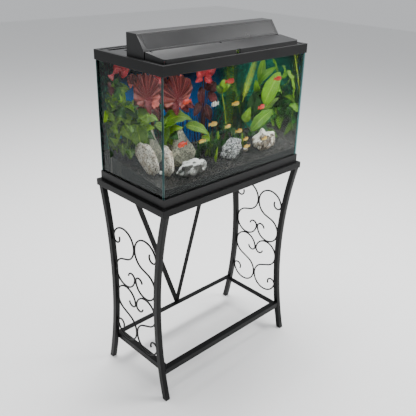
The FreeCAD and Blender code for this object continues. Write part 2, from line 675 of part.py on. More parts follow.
edge = SIZE["cover_edge"]
recess = on_slope("cover_recess", "cover_margin", edge, -SIZE["cover_sink"], "10")
window = on_slope("cover_window", "cover_margin + cover_lip", edge + SIZE["cover_lip"], -8, "20")
WALL_UP = f"{TOP} + 31"
SWITCH_ACROSS = "upper_offset + 0.355 * upper_length"
switch_hole = box("switch_hole", "13", "20", "21", f"{SWITCH_ACROSS} - 6.5", "housing_back - 10",
                  f"{WALL_UP} - 10.5")
GLAND_ACROSS = "upper_offset - 0.44 * upper_length"
gland_hole = cylinder("gland_hole", "gland_body", "20", GLAND_ACROSS, "housing_back - 10", f"{TOP} + 16", "Y")
light_housing = cut("light_housing", housing, recess, window, switch_hole, gland_hole)
piece(light_housing, "light_housing")
skin = on_slope("cover_skin", "cover_margin + cover_gap", edge + SIZE["cover_gap"], -SIZE["cover_sink"], "1")
boss = on_slope("cover_boss", "cover_margin + cover_lip + cover_gap",
                edge + SIZE["cover_lip"] + SIZE["cover_gap"], -SIZE["cover_sink"] - 1.5, "2")
piece(fuse("lamp_cover", skin, boss), "lamp_cover")

gland = fuse(
    "cord_gland",
    cylinder("gland_shank", "gland_body", "10", GLAND_ACROSS, "housing_back - 8", f"{TOP} + 16", "Y"),
    cylinder("gland_flange", "gland_body + 5", "3", GLAND_ACROSS, "housing_back", f"{TOP} + 16", "Y"),
    cylinder("gland_nose", "gland_body - 2", "9", GLAND_ACROSS, "housing_back + 2", f"{TOP} + 16", "Y"),
)
gland_bore = cylinder("gland_bore", "gland_bore", "30", GLAND_ACROSS, "housing_back - 12", f"{TOP} + 16", "Y")
piece(cut("cord_gland", gland, gland_bore), "cord_gland")

rocker = doc.addObject("PartDesign::Body", "rocker_switch")
face = sketch(rocker, "rocker_section", "YZ_Plane", [
    ("-3", "-5"), ("3", "-9"), ("7.2", "-9"), ("6.2", "0"), ("7.2", "9"), ("3", "9"), ("-3", "5"),
])
pad(rocker, "rocker_paddle", face, "11.6", symmetric=True)
rocker.Placement.Rotation = FreeCAD.Rotation(FreeCAD.Vector(1, 0, 0), -7)
place(rocker, SWITCH_ACROSS, "housing_back - 5", WALL_UP)
piece(rocker, "rocker_switch")

# ---------------------------------------------------------------- hood: lamp, its holders and gear
LAMP_UP = f"{TOP} + 27"
LAMP_ALONG = "(housing_front + housing_back) / 2 + 1.5"
LAMP_START = f"{FIRST} + 16"
lamp_parts = [cylinder("lamp_glass", "lamp_tube", "lamp_length", LAMP_START, LAMP_ALONG, LAMP_UP, "X")]
holders = []
for end, start, face in (
    ("left", f"{LAMP_START} - 11", f"{LAMP_START} - 1"),
    ("right", f"{LAMP_START} + lamp_length + 1", f"{LAMP_START} + lamp_length + 1"),
):
    for row, offset in (("low", "-6.35"), ("high", "6.35")):
        pin_start = f"{LAMP_START} - 7" if end == "left" else f"{LAMP_START} + lamp_length - 1"
        lamp_parts.append(cylinder(f"pin_{end}_{row}", "2.4", "8", pin_start, LAMP_ALONG,
                                   f"{LAMP_UP} + {offset}", "X"))
    block = box(f"holder_{end}_block", "10", "26", "34", start, f"{LAMP_ALONG} - 13", f"{LAMP_UP} - 17")
    stem = box(f"holder_{end}_stem", "10", "14", "housing_height - hood_wall - 27 - 16", start,
               f"{LAMP_ALONG} - 4", f"{LAMP_UP} + 16")
    slot_start = f"{start} + 3" if end == "left" else f"{start} - 1"
    slot = box(f"holder_{end}_slot", "8", "3.4", "27", slot_start, f"{LAMP_ALONG} - 1.7", f"{LAMP_UP} - 18")
    holders.append(cut(f"holder_{end}", fuse(f"holder_{end}", block, stem), slot))
piece(fuse("lamp_tube", *lamp_parts), "lamp_tube")
piece(group("lampholders", holders), "lampholders")

reflector = doc.addObject("PartDesign::Body", "reflector")
fold = sketch(reflector, "reflector_section", "YZ_Plane", [
    ("housing_front + 12", "15"), ("housing_front + 27", "45"),
    ("housing_back - 19", "45"), ("housing_back - 8", "15"),
    ("housing_back - 9", "15"), ("housing_back - 20", "44"),
    ("housing_front + 28", "44"), ("housing_front + 13", "15"),
])
pad(reflector, "reflector_sheet", fold, "lamp_length - 10", symmetric=True)
place(reflector, f"{LAMP_START} + lamp_length / 2", "0", TOP)
piece(reflector, "reflector")

GEAR = f"{LAMP_START} + lamp_length + 44"
piece(box("ballast", "62", "34", "30", GEAR, "housing_back - hood_wall - 34", f"{TOP} + 24"), "ballast")
piece(cylinder("starter", "21", "36", GEAR, "housing_front + 24", f"{TOP} + 13", "X"), "starter")
lens_block = box("lens_sheet", "upper_length - 2 * hood_wall - 12",
                 "housing_back - housing_front - 2 * hood_wall - 2", "lens",
                 f"{FIRST} + hood_wall + 6", "housing_front + hood_wall + 1", DECK)
lens_holes = [cylinder(f"lens_hole_{number}", "3.6", "lens + 2", hole_across, hole_along, DECK + " - 1")
              for number, (hole_across, hole_along) in enumerate(
                  (f"upper_offset + {share} * upper_length", depth)
                  for share in (-0.44, 0.44) for depth in ("housing_front + 9", "housing_back - 9"))]
piece(cut("lamp_lens", lens_block, *lens_holes), "lamp_lens")

# ---------------------------------------------------------------- hood: front lid
lid = doc.addObject("PartDesign::Body", "front_lid_shell")
LID_BACK = f"{HINGE_ALONG} + 2"
LID_FOOT = "hood_plate - hood_recess + lid_gap"
profile = sketch(lid, "lid_outline", "YZ_Plane", [
    (LID_FRONT, LID_FOOT), (LID_BACK, LID_FOOT),
    (LID_BACK, "shoulder_height"), (LID_FRONT, "lid_front_height"),
])
pad(lid, "lid_block", profile, "upper_length", symmetric=True)
inside = sketch(lid, "lid_inside", "YZ_Plane", [
    (f"{LID_FRONT} + hood_wall", LID_FOOT), (f"{LID_BACK} + 1", LID_FOOT),
    (f"{LID_BACK} + 1", "shoulder_height - hood_wall"),
    (f"{LID_FRONT} + hood_wall", "lid_front_height - hood_wall"),
])
pocket(lid, "lid_hollow", inside, "upper_length - 2 * hood_wall", symmetric=True)
place(lid, "upper_offset", "0", TOP)
corners = []
for hand, across in ((-1, f"{FIRST}"), (1, f"{FIRST} + upper_length - lid_corner")):
    block = box(f"corner_block_{hand}", "lid_corner + 1", "lid_corner + 1", "60",
                across if hand > 0 else f"{across} - 1", f"{LID_FRONT} - 1", f"{TOP} - 20")
    round_across = f"{across} + lid_corner" if hand < 0 else across
    keep = cylinder(f"corner_keep_{hand}", "2 * lid_corner", "62", round_across, f"{LID_FRONT} + lid_corner",
                    f"{TOP} - 21")
    corners.append(cut(f"corner_{hand}", block, keep))
notch = cylinder("finger_notch", "notch_width", "60", "upper_offset",
                 f"{LID_FRONT} - notch_width / 2 + notch_depth", f"{TOP} - 20")
knuckle_bar = cylinder("lid_knuckle", "knuckle", "0.94 * upper_length - ear - 1",
                       "upper_offset - 0.47 * upper_length + ear / 2 + 0.5", HINGE_ALONG, HINGE_UP, "X")
ear_rooms = [box(f"ear_room_{number}", "ear + 1", "14", "30",
                 f"upper_offset + {share} * upper_length - ear / 2 - 0.5",
                 f"{HINGE_ALONG} - 8", f"{HINGE_UP} - 10") for number, share in enumerate(EARS)]
lid_bore = cylinder("lid_knuckle_bore", HINGE_BORE, "upper_length - 2 * hood_wall - 4",
                    f"{FIRST} + hood_wall + 2", HINGE_ALONG, HINGE_UP, "X")
whole_lid = fuse("front_lid", cut("lid_corners", lid, *corners), knuckle_bar)
front_lid = cut("front_lid", whole_lid, notch, *ear_rooms, lid_bore)
piece(front_lid, "front_lid")

# ---------------------------------------------------------------- check and write
doc.recompute()
for thing in doc.Objects:
    if {"Invalid", "Error"} & set(thing.State):
        raise RuntimeError(f"{thing.Label} failed: {thing.State}")
labels = [thing.Label for thing in PIECES]
if len(set(labels)) != len(labels):
    raise RuntimeError("two sub-parts share a name")
for thing in PIECES:
    if thing.Shape.isNull() or not thing.Shape.isValid() or not thing.Shape.Solids:
        raise RuntimeError(thing.Label + " has no valid solid")
    if min(solid.Volume for solid in thing.Shape.Solids) <= 0:
        raise RuntimeError(thing.Label + " has a solid turned inside out")
os.makedirs("parts", exist_ok=True)
for thing in PIECES:
    thing.Shape.exportStep(f"parts/{thing.Label}.step")
print(len(PIECES), "sub-parts written")
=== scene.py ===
"""An aquarium with a lit hood on a bowed steel stand: the looks of every piece, around the fixed CAD frame.
Metres, +Z up, +X along the tank, -Y to the front."""

import json
import math
import random

import bmesh
import bpy
from mathutils import Matrix, Vector, noise


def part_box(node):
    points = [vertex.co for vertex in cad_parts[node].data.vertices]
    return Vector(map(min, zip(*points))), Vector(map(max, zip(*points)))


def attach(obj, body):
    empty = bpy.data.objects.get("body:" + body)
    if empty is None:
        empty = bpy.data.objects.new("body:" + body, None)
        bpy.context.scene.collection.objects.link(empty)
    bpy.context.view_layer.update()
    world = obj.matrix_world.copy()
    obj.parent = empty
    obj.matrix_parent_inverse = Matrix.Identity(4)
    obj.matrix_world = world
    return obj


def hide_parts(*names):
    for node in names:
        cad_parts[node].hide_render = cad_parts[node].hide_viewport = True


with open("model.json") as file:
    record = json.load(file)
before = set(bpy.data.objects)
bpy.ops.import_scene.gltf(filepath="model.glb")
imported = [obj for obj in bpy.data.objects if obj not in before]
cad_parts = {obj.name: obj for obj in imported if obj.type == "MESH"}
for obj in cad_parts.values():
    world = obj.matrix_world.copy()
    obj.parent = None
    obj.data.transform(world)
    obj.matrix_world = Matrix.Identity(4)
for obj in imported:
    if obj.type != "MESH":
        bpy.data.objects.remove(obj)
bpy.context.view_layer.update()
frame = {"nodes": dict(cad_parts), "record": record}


# ---------------------------------------------------------------- studio
# A plain pale floor under soft light: a large overhead softbox, a broad one at the front right, and an even sky.
# The camera stands at the front left corner, above the hood, a little tilted.
def finish(name, roughness, colour=None, **more):
    """A new material with its Principled shader; a plain value is set on the shader's own socket."""
    material = bpy.data.materials.new(name)
    material.use_nodes = True
    shader = material.node_tree.nodes["Principled BSDF"]
    shader.inputs["Roughness"].default_value = roughness
    if colour:
        shader.inputs["Base Color"].default_value = (*colour, 1)
    for socket, value in more.items():
        shader.inputs[socket.replace("_", " ")].default_value = value
    return material, material.node_tree, shader


def mesh_piece(name, bm, *materials, smooth=True):
    """A new piece from a bmesh."""
    mesh = bpy.data.meshes.new(name)
    bm.normal_update()
    bm.to_mesh(mesh)
    bm.free()
    mesh.polygons.foreach_set("use_smooth", [smooth] * len(mesh.polygons))
    for material in materials:
        mesh.materials.append(material)
    made = bpy.data.objects.new(name, mesh)
    bpy.context.scene.collection.objects.link(made)
    return made


floor_paint = finish("floor_paint", 0.6, (0.86, 0.86, 0.855))[0]
bm = bmesh.new()
bmesh.ops.create_grid(bm, x_segments=2, y_segments=2, size=9.0)
floor = mesh_piece("studio_floor", bm, floor_paint)

sky = bpy.data.worlds.new("studio_sky")
sky.use_nodes = True
sky.node_tree.nodes["Background"].inputs["Color"].default_value = (0.95, 0.97, 1.0, 1)
sky.node_tree.nodes["Background"].inputs["Strength"].default_value = 0.62
bpy.context.scene.world = sky


def softbox(name, place, target, size, power):
    light = bpy.data.lights.new(name, "AREA")
    light.shape = "RECTANGLE"
    light.size, light.size_y = size
    light.energy = power
    made = bpy.data.objects.new(name, light)
    made.location = place
    made.rotation_euler = (Vector(target) - Vector(place)).to_track_quat("-Z", "Y").to_euler()
    bpy.context.scene.collection.objects.link(made)


softbox("overhead_softbox", (0.3, 0.5, 3.4), (0, 0, 0.9), (2.6, 2.0), 230)
softbox("front_softbox", (2.2, -1.7, 2.2), (0, 0, 0.9), (1.2, 1.6), 70)

# the camera's aim in degrees: round from +Y towards +X, down, and tilted
heading, dip, roll = (math.radians(angle) for angle in (44.4, 25.3, 1.5))
look = Vector((math.sin(heading) * math.cos(dip), math.cos(heading) * math.cos(dip), -math.sin(dip)))
right = look.cross(Vector((0, 0, 1))).normalized()
up = right.cross(look)
right, up = right * math.cos(roll) + up * math.sin(roll), up * math.cos(roll) - right * math.sin(roll)
lens = bpy.data.cameras.new("camera")
lens.sensor_width = 36
lens.lens = 49.0
camera = bpy.data.objects.new("camera", lens)
aim = Matrix((right, up, -look)).transposed().to_4x4()
camera.matrix_world = Matrix.Translation((-1.2513, -1.3049, 1.4343)) @ aim
bpy.context.scene.collection.objects.link(camera)
bpy.context.scene.camera = camera

# ---------------------------------------------------------------- steel stand
# Angle-iron frames, bowed square-tube legs, a strap V at the back and bent-rod scrolls, welded up and then dipped in
# satin black powder coat, which pulls thin on edges and keeps a faint orange peel.
ROOT = "tank_and_stand"  # the body that stays where it is
MM = 0.001


def add(tree, kind, **given):
    """A shader node; each setting, input value or link is given by name, or as in0, in1 where names repeat."""
    made = tree.nodes.new("ShaderNode" + kind)
    for name, value in given.items():
        by_number = name.startswith("in") and name[2:].isdigit()
        socket = made.inputs[int(name[2:])] if by_number else made.inputs.get(name.replace("_", " "))
        if socket is None:
            setattr(made, name, value)
        elif isinstance(value, bpy.types.NodeSocket):
            tree.links.new(value, socket)
        else:
            socket.default_value = value
    return made


def maths(tree, operation, *terms):
    return add(tree, "Math", operation=operation, **{f"in{i}": term for i, term in enumerate(terms)}).outputs[0]


def blend_colours(tree, factor, first, second, kind="MIX"):
    pair = [(*colour, 1) if isinstance(colour, tuple) else colour for colour in (first, second)]
    return add(tree, "Mix", data_type="RGBA", blend_type=kind, in0=factor, in6=pair[0], in7=pair[1]).outputs[2]


def ramp(tree, factor, *stops):
    """Colours or greys over a factor, as (place, value) stops."""
    made = add(tree, "ValToRGB", Fac=factor)
    elements = made.color_ramp.elements
    while len(elements) < len(stops):
        elements.new(1.0)
    for element, (place, value) in zip(elements, stops):
        element.position = place
        element.color = (*value, 1) if isinstance(value, tuple) else (value, value, value, 1)
    return made.outputs[0]


def bump(tree, shader, height, depth):
    raised = add(tree, "Bump", Height=height, Distance=depth, Strength=1.0)
    tree.links.new(raised.outputs[0], shader.inputs["Normal"])


def new_group(name, inputs, outputs):
    tree = bpy.data.node_groups.new(name, "ShaderNodeTree")
    for label, default in inputs.items():
        socket = tree.interface.new_socket(name=label, in_out="INPUT", socket_type="NodeSocketFloat")
        socket.default_value = default
    for label, kind in outputs.items():
        tree.interface.new_socket(name=label, in_out="OUTPUT", socket_type="NodeSocket" + kind)
    return tree, add(tree, "TexCoord"), tree.nodes.new("NodeGroupInput"), tree.nodes.new("NodeGroupOutput")


# fine surface texture: its height, and a slow drift for colour and gloss
grain, spot, entry, leave = new_group("grain", {"Scale": 600.0, "Drift": 12.0}, {"Height": "Float", "Cloud": "Float"})
fine = add(grain, "TexNoise", Vector=spot.outputs["Object"], Scale=entry.outputs["Scale"], Detail=3.0, Roughness=0.6)
slow = add(grain, "TexNoise", Vector=spot.outputs["Object"], Scale=entry.outputs["Drift"], Detail=4.0, Roughness=0.55)
grain.links.new(fine.outputs[0], leave.inputs["Height"])
grain.links.new(slow.outputs[0], leave.inputs["Cloud"])

# where an outer edge is rubbed or catches dust, and where a highlight is painted on it: 1 on the edge, 0 on the flat
edge_wear_and_highlight, spot, entry, leave = new_group("edge_wear_and_highlight", {"Reach": 0.001, "Break": 90.0}, {"Mask": "Float"})
rounded = add(edge_wear_and_highlight, "Bevel", samples=4, Radius=entry.outputs["Reach"])
flat = add(edge_wear_and_highlight, "NewGeometry")
turn = add(edge_wear_and_highlight, "VectorMath", operation="DOT_PRODUCT", in0=rounded.outputs[0], in1=flat.outputs["Normal"])
patch = add(edge_wear_and_highlight, "TexNoise", Vector=spot.outputs["Object"], Scale=entry.outputs["Break"], Detail=3.0)
edge = maths(edge_wear_and_highlight, "MULTIPLY", maths(edge_wear_and_highlight, "SUBTRACT", 1.0, turn.outputs["Value"]), 7.0)
worn_and_highlit = add(edge_wear_and_highlight, "Math", operation="MULTIPLY", use_clamp=True, in0=edge,
           in1=maths(edge_wear_and_highlight, "ADD", patch.outputs[0], 0.25))
edge_wear_and_highlight.links.new(worn_and_highlit.outputs[0], leave.inputs["Mask"])


def use_group(tree, group, **values):
    made = tree.nodes.new("ShaderNodeGroup")
    made.node_tree = group
    for name, value in values.items():
        made.inputs[name].default_value = value
    return made


def coated(name, colour, pale, roughness, scale=600.0, depth=0.00004, reach=0.0012, rub_and_highlight=0.6, gleam=0.5):
    """A dark coat or moulding: slight cloudiness, fine texture and paler edges, partly wear and partly a painted
    highlight.
    """
    material, tree, shader = finish(name, roughness)
    shader.inputs["Specular IOR Level"].default_value = gleam
    texture = use_group(tree, grain, Scale=scale, Drift=9.0)
    wear_and_highlight = use_group(tree, edge_wear_and_highlight, Reach=reach)
    dark, light = (tuple(share * part for part in colour) for share in (0.8, 1.25))
    cloud = ramp(tree, texture.outputs["Cloud"], (0.3, dark), (0.7, light))
    # paler edges: part wear, part painted highlight
    rubbed_and_highlit = maths(tree, "MULTIPLY", wear_and_highlight.outputs["Mask"], rub_and_highlight)
    tree.links.new(blend_colours(tree, rubbed_and_highlit, cloud, pale), shader.inputs["Base Color"])
    gloss = ramp(tree, texture.outputs["Cloud"], (0.25, roughness - 0.05), (0.75, roughness + 0.06))
    tree.links.new(gloss, shader.inputs["Roughness"])
    bump(tree, shader, texture.outputs["Height"], depth)
    return material


powder_coat = coated("powder_coat", (0.003, 0.003, 0.0031), (0.022, 0.022, 0.023), 0.40, scale=420.0, depth=0.00006,
                     gleam=0.16)


def dress(node, material, ease=0.0, segments=2):
    """Gives a CAD node its finish, and eases its sharp edges by a width in that many steps."""
    piece = frame["nodes"][node]
    for held in piece.material_slots:
        held.material = material
    if ease:
        piece.modifiers.new("join", "WELD").merge_threshold = 0.00001
        flats = piece.modifiers.new("flats", "DECIMATE")
        flats.decimate_type = "DISSOLVE"
        flats.angle_limit = math.radians(0.4)
        rounding = piece.modifiers.new("rounding", "BEVEL")
        rounding.width = ease
        rounding.segments = segments
        rounding.limit_method = "ANGLE"
        rounding.angle_limit = math.radians(40)
        rounding.harden_normals = True
    return piece


for node in frame["record"]["behaviour"]["bodies"][ROOT]:
    if "rail_" in node:
        dress(node, powder_coat, 0.9 * MM)
    elif node.startswith("leg_"):
        dress(node, powder_coat, 2.2 * MM, 3)
    elif node.startswith("brace_"):
        dress(node, powder_coat, 0.6 * MM)
    elif node.startswith("scroll_"):
        # the coat builds up on the bent rods, which look a little thicker for it
        coat = dress(node, powder_coat).modifiers.new("coat", "DISPLACE")
        coat.strength = 0.6 * MM
        coat.mid_level = 0


def tube(bm, path, radii, sides=8):
    """A round tube along points, its radius given at each; its ends are closed. Returns its faces."""
    rings = []
    normal = None
    for number, point in enumerate(path):
        ahead = (path[min(number + 1, len(path) - 1)] - path[max(number - 1, 0)]).normalized()
        normal = (normal or ahead.orthogonal()) - ahead * (normal or ahead.orthogonal()).dot(ahead)
        normal.normalize()
        across = ahead.cross(normal)
        ring = []
        for side in range(sides):
            angle = 2 * math.pi * side / sides
            offset = normal * math.cos(angle) + across * math.sin(angle)
            ring.append(bm.verts.new(point + offset * radii[number]))
        rings.append(ring)
    faces = [bm.faces.new(rings[0][::-1]), bm.faces.new(rings[-1])]
    for low, high in zip(rings, rings[1:]):
        for side in range(sides):
            after = (side + 1) % sides
            faces.append(bm.faces.new((low[side], low[after], high[after], high[side])))
    return faces


def bead(bm, start, end, radius, seed):
    """A hand-laid weld bead: a lumpy run between two points."""
    chance = random.Random(seed)
    start, end = Vector(start), Vector(end)
    steps = max(6, int((end - start).length / (0.45 * radius)))
    path = [start.lerp(end, step / steps) for step in range(steps + 1)]
    radii = [radius * (0.75 + 0.25 * abs(math.sin(1.3 * step)) + chance.uniform(-0.06, 0.06))
             for step in range(steps + 1)]
    radii[0] = radii[-1] = radius * 0.35
    tube(bm, path, radii)


# weld beads where the lower frame butts on the legs, where the legs meet the top frame and where rods touch
bm = bmesh.new()
lower_low, lower_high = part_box("lower_rail_front")
for hand in (-1, 1):
    for side in (-1, 1):
        corner = (hand * lower_high.x, side * abs(lower_low.y))
        bead(bm, (*corner, lower_low.z + MM), (*corner, lower_high.z - MM), 1.6 * MM, 3)
        leg_low, leg_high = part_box(f"leg_{'front' if side < 0 else 'back'}_{'left' if hand < 0 else 'right'}")
        outer_y = side * abs(leg_low.y if side < 0 else leg_high.y)
        inner_y = outer_y - side * 16 * MM
        seam_height = leg_high.z - 0.6 * MM
        for x in (leg_low.x, leg_high.x):
            bead(bm, (x, inner_y, seam_height), (x, outer_y, seam_height), 1.3 * MM, 5)
    for side, other in (("front", -1), ("back", 1)):
        for level in ("lower", "upper"):
            low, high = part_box(f"scroll_{'left' if hand < 0 else 'right'}_{side}_{level}")
            middle_x = (low.x + high.x) / 2
            reach = high.y - low.y
            end_height = low.z + reach / 2 if level == "lower" else high.z - reach / 2
            inside_height = high.z - 0.46 * reach if level == "lower" else low.z + 0.46 * reach
            for y, height in ((other * reach, end_height), (0, end_height), (0, inside_height)):
                touch_y = y - 0.5 * MM * other
                bead(bm, (middle_x, touch_y, height - 5 * MM), (middle_x, touch_y, height + 5 * MM), 1.9 * MM, 9)
weld_beads = mesh_piece("weld_beads", bm, powder_coat)
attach(weld_beads, ROOT)

# ---------------------------------------------------------------- foot plugs
# Ribbed black polythene plugs pushed into the open leg ends, scuffed where they stand.
plug_plastic = coated("plug_plastic", (0.014, 0.014, 0.014), (0.06, 0.06, 0.058), 0.5, scale=250.0)
dress("foot_plugs", plug_plastic, 0.7 * MM)

# ---------------------------------------------------------------- tank rims
# Two injection-moulded black frames that grip the glass top and bottom, satin, with a fine spark texture.
# its paler edges carry a painted highlight as well as wear
rim_plastic = coated("rim_plastic", (0.0055, 0.0055, 0.0057), (0.03, 0.03, 0.031), 0.40, scale=900.0, depth=0.00003,
                     reach=0.0018, rub_and_highlight=0.8, gleam=0.22)
for node in ("bottom_rim", "top_rim"):
    dress(node, rim_plastic, 0.8 * MM, 3)


# ---------------------------------------------------------------- glass panes
# Five float-glass panes, ground at the edges, where the thickness of the glass shows blue-green. Their index of
# refraction is lower than real glass, 1.08, and their specular tint black, because the pale floor's reflection would
# hide what is inside. Light goes straight through to the things inside.
def clear(name, colour, edge_colour=None, thin_axis=None, ior=1.08, shade=0.96):
    """A clear material; shade is the share of light let through, edges face off the thin axis."""
    material, tree, shader = finish(name, 0.0, colour, IOR=ior, Transmission_Weight=1.0)
    shader.inputs["Specular Tint"].default_value = (0.0, 0.0, 0.0, 1)
    if edge_colour:
        facing = add(tree, "VectorMath", operation="ABSOLUTE", in0=add(tree, "NewGeometry").outputs["Normal"])
        along = add(tree, "SeparateXYZ", Vector=facing.outputs[0]).outputs[thin_axis]
        tint = blend_colours(tree, maths(tree, "LESS_THAN", along, 0.7), colour, edge_colour)
        tree.links.new(tint, shader.inputs["Base Color"])
    gap = add(tree, "BsdfTransparent", Color=(shade, shade, shade, 1))
    mix = add(tree, "MixShader", in0=add(tree, "LightPath").outputs["Is Shadow Ray"], in1=shader.outputs[0],
              in2=gap.outputs[0])
    tree.links.new(mix.outputs[0], tree.nodes["Material Output"].inputs["Surface"])
    return material


pane_tint = (0.965, 0.995, 0.985)
edge_tint = (0.03, 0.15, 0.15)
long_pane = clear("long_pane_glass", pane_tint, edge_tint, "Y")
short_pane = clear("short_pane_glass", pane_tint, edge_tint, "X")
floor_pane = clear("floor_pane_glass", pane_tint, edge_tint, "Z")
for node, material in (("front_pane", long_pane), ("back_pane", long_pane), ("left_pane", short_pane),
                       ("right_pane", short_pane), ("bottom_pane", floor_pane)):
    dress(node, material, 0.35 * MM, 1)

# ---------------------------------------------------------------- silicone
# Clear silicone, faintly aqua: a thin film between the panes, and a tooled fillet smeared down each inside corner.
# Its colour is darkened as painted shade, as it looks between two panes.
silicone, tree, shader = finish("silicone", 0.3, (0.04, 0.10, 0.10), Transmission_Weight=0.5, IOR=1.4)
bump(tree, shader, use_group(tree, grain, Scale=60.0, Drift=8.0).outputs["Height"], 0.0003)
dress("silicone_seams", silicone)
inside_low = Vector((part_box("left_pane")[1].x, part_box("front_pane")[1].y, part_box("bottom_pane")[1].z))
inside_high = Vector((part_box("right_pane")[0].x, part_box("back_pane")[0].y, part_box("top_rim")[0].z))


def fillet(bm, start, end, first, second, width):
    """A concave strip that fills the corner between two walls, from start to end."""
    start, end, first, second = (Vector(v) for v in (start, end, first, second))
    rows = 40
    rings = []
    for row in range(rows + 1):
        here = start.lerp(end, row / rows)
        reach = width * (1 + 0.16 * noise.noise(here * 40))
        profile = [first * reach, first * reach * 0.42 + second * reach * 0.2, (first + second) * reach * 0.27,
                   first * reach * 0.2 + second * reach * 0.42, second * reach, Vector()]
        rings.append([bm.verts.new(here + point) for point in profile])
    for low, high in zip(rings, rings[1:]):
        for side in range(6):
            bm.faces.new((low[side], low[(side + 1) % 6], high[(side + 1) % 6], high[side]))
    bm.faces.new(rings[0][::-1])
    bm.faces.new(rings[-1])


bm = bmesh.new()
lift = 0.05 * MM
for x, sx in ((inside_low.x + lift, 1), (inside_high.x - lift, -1)):
    for y, sy in ((inside_low.y + lift, 1), (inside_high.y - lift, -1)):
        fillet(bm, (x, y, inside_low.z + MM), (x, y, inside_high.z + 20 * MM), (sx, 0, 0), (0, sy, 0), 1.7 * MM)
bmesh.ops.recalc_face_normals(bm, faces=bm.faces)
corner_fillets = mesh_piece("corner_fillets", bm, silicone)
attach(corner_fillets, ROOT)

# ---------------------------------------------------------------- background film
# A printed underwater scene taped to the back pane, black behind: deep blue open water with dim rods of coral, and a
# sunlit green reef at both ends.


def place_of(tree, stretch=(1, 1, 1)):
    """Where a point is on its piece at rest, in metres, stretched."""
    spot = add(tree, "TexCoord").outputs["Object"]
    return add(tree, "Mapping", Vector=spot, Scale=stretch).outputs[0]


def clouds(tree, scale, detail=2.0, roughness=0.5, stretch=(1, 1, 1)):
    """Noise fixed to the piece, from 0 to 1."""
    return add(tree, "TexNoise", Vector=place_of(tree, stretch), Scale=scale, Detail=detail,
               Roughness=roughness).outputs[0]


def rising(tree, value, start, gain):
    """0 where the value is at its start, and growing by the gain."""
    return maths(tree, "MULTIPLY", maths(tree, "SUBTRACT", value, start), gain)


film_print, tree, shader = finish("film_print", 0.3)
spot = add(tree, "SeparateXYZ", Vector=place_of(tree))
drift = clouds(tree, 9.0, 5.0, 0.6)
across = maths(tree, "ADD", spot.outputs["X"], rising(tree, drift, 0.5, 0.12))
along_film = maths(tree, "ADD", maths(tree, "MULTIPLY", across, 1.64), 0.5)
blue = ramp(tree, rising(tree, spot.outputs["Z"], 0.74, 2.6),
            (0.0, (0.001, 0.06, 0.26)), (0.45, (0.002, 0.20, 0.72)), (1.0, (0.006, 0.32, 0.88)))
speckle = add(tree, "TexVoronoi", Vector=place_of(tree), Scale=130.0, feature="F1")
reef = ramp(tree, clouds(tree, 85.0, 9.0, 0.8), (0.36, (0.0, 0.05, 0.04)), (0.48, (0.001, 0.20, 0.14)),
            (0.56, (0.005, 0.42, 0.26)), (0.66, (0.22, 0.85, 0.40)))
reef = blend_colours(tree, 0.45, reef, ramp(tree, speckle.outputs["Distance"], (0.1, 0.75), (0.5, 0.12)), "OVERLAY")
end_mask = ramp(tree, along_film, (0.20, 1.0), (0.27, 0.0), (0.60, 0.0), (0.68, 1.0))
coral = add(tree, "TexWave", Vector=place_of(tree, (1, 1, 0.25)), Scale=26.0, Distortion=9.0, Detail=4.0,
            Detail_Scale=1.4, wave_type="BANDS", bands_direction="X")
low = ramp(tree, rising(tree, spot.outputs["Z"], 0.86, 8.0), (0.3, 1.0), (1.0, 0.0))
fans = maths(tree, "MULTIPLY", ramp(tree, coral.outputs["Fac"], (0.5, 0.0), (0.62, 1.0)),
             maths(tree, "MULTIPLY", ramp(tree, drift, (0.42, 0.0), (0.5, 0.9)), low))
open_water = blend_colours(tree, fans, blue, (0.002, 0.012, 0.05))
outward = add(tree, "SeparateXYZ", Vector=add(tree, "NewGeometry").outputs["Normal"]).outputs["Y"]
scene_print = blend_colours(tree, end_mask, open_water, reef)
plain_back = blend_colours(tree, maths(tree, "GREATER_THAN", outward, 0.5), scene_print, (0.012, 0.013, 0.016))
tree.links.new(plain_back, shader.inputs["Base Color"])
dress("background_sheet", film_print)

# ---------------------------------------------------------------- water
# Filled to just under the top rim's lip, and a hair clear of the glass. It bends the view, as in a real tank. It has
# no back, as if it touched the film, or the back pane would mirror the room to someone at the left pane.
water = clear("water", (0.955, 0.99, 0.995), ior=1.333, shade=0.97)
gap, bottom_gap = 0.12 * MM, 1.2 * MM
surface_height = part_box("top_rim")[0].z + 4 * MM
bm = bmesh.new()
bmesh.ops.create_cube(bm, size=1.0)
size = Vector((inside_high.x - inside_low.x - 2 * gap, inside_high.y - inside_low.y - 2 * gap,
               surface_height - inside_low.z - bottom_gap))
middle = Vector((0, 0, (surface_height + inside_low.z + bottom_gap) / 2))
bmesh.ops.transform(bm, matrix=Matrix.LocRotScale(middle, None, size), verts=bm.verts)
bmesh.ops.subdivide_edges(bm, edges=bm.edges[:], cuts=24, use_grid_fill=True)
for vert in bm.verts:
    if vert.co.z > surface_height - 0.01 * MM:
        inset = min(size.x / 2 - abs(vert.co.x), size.y / 2 - abs(vert.co.y))
        vert.co.z += 0.7 * MM * math.exp(-inset / (4 * MM)) + 0.25 * MM * noise.noise(vert.co * 18)
against_back = [face for face in bm.faces if face.normal.y > 0.9]
bmesh.ops.delete(bm, geom=against_back, context="FACES_ONLY")
water_body = mesh_piece("water_body", bm, water, smooth=False)
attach(water_body, ROOT)

# ---------------------------------------------------------------- gravel
# Wet black aquarium gravel, 3 to 6 mm, banked up to the back. A knobbly bed carries loose grains, and more of them
# press against the glass.
gravel_low, gravel_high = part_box("gravel_bed")
FRONT_DEPTH = 39 * MM  # of gravel against the front pane


def gravel_height(x, y):
    """The banked surface with soft mounds."""
    share = (y - gravel_low.y) / (gravel_high.y - gravel_low.y)
    bank = gravel_low.z + FRONT_DEPTH + share * (gravel_high.z - gravel_low.z - FRONT_DEPTH)
    return bank + 4 * MM * noise.noise(Vector((x, y, 0)) * 14) - 2 * MM


def painted(tree, map_name):
    """The two values that a mesh carries in one of its maps."""
    return add(tree, "SeparateXYZ", Vector=add(tree, "UVMap", uv_map=map_name).outputs[0]).outputs


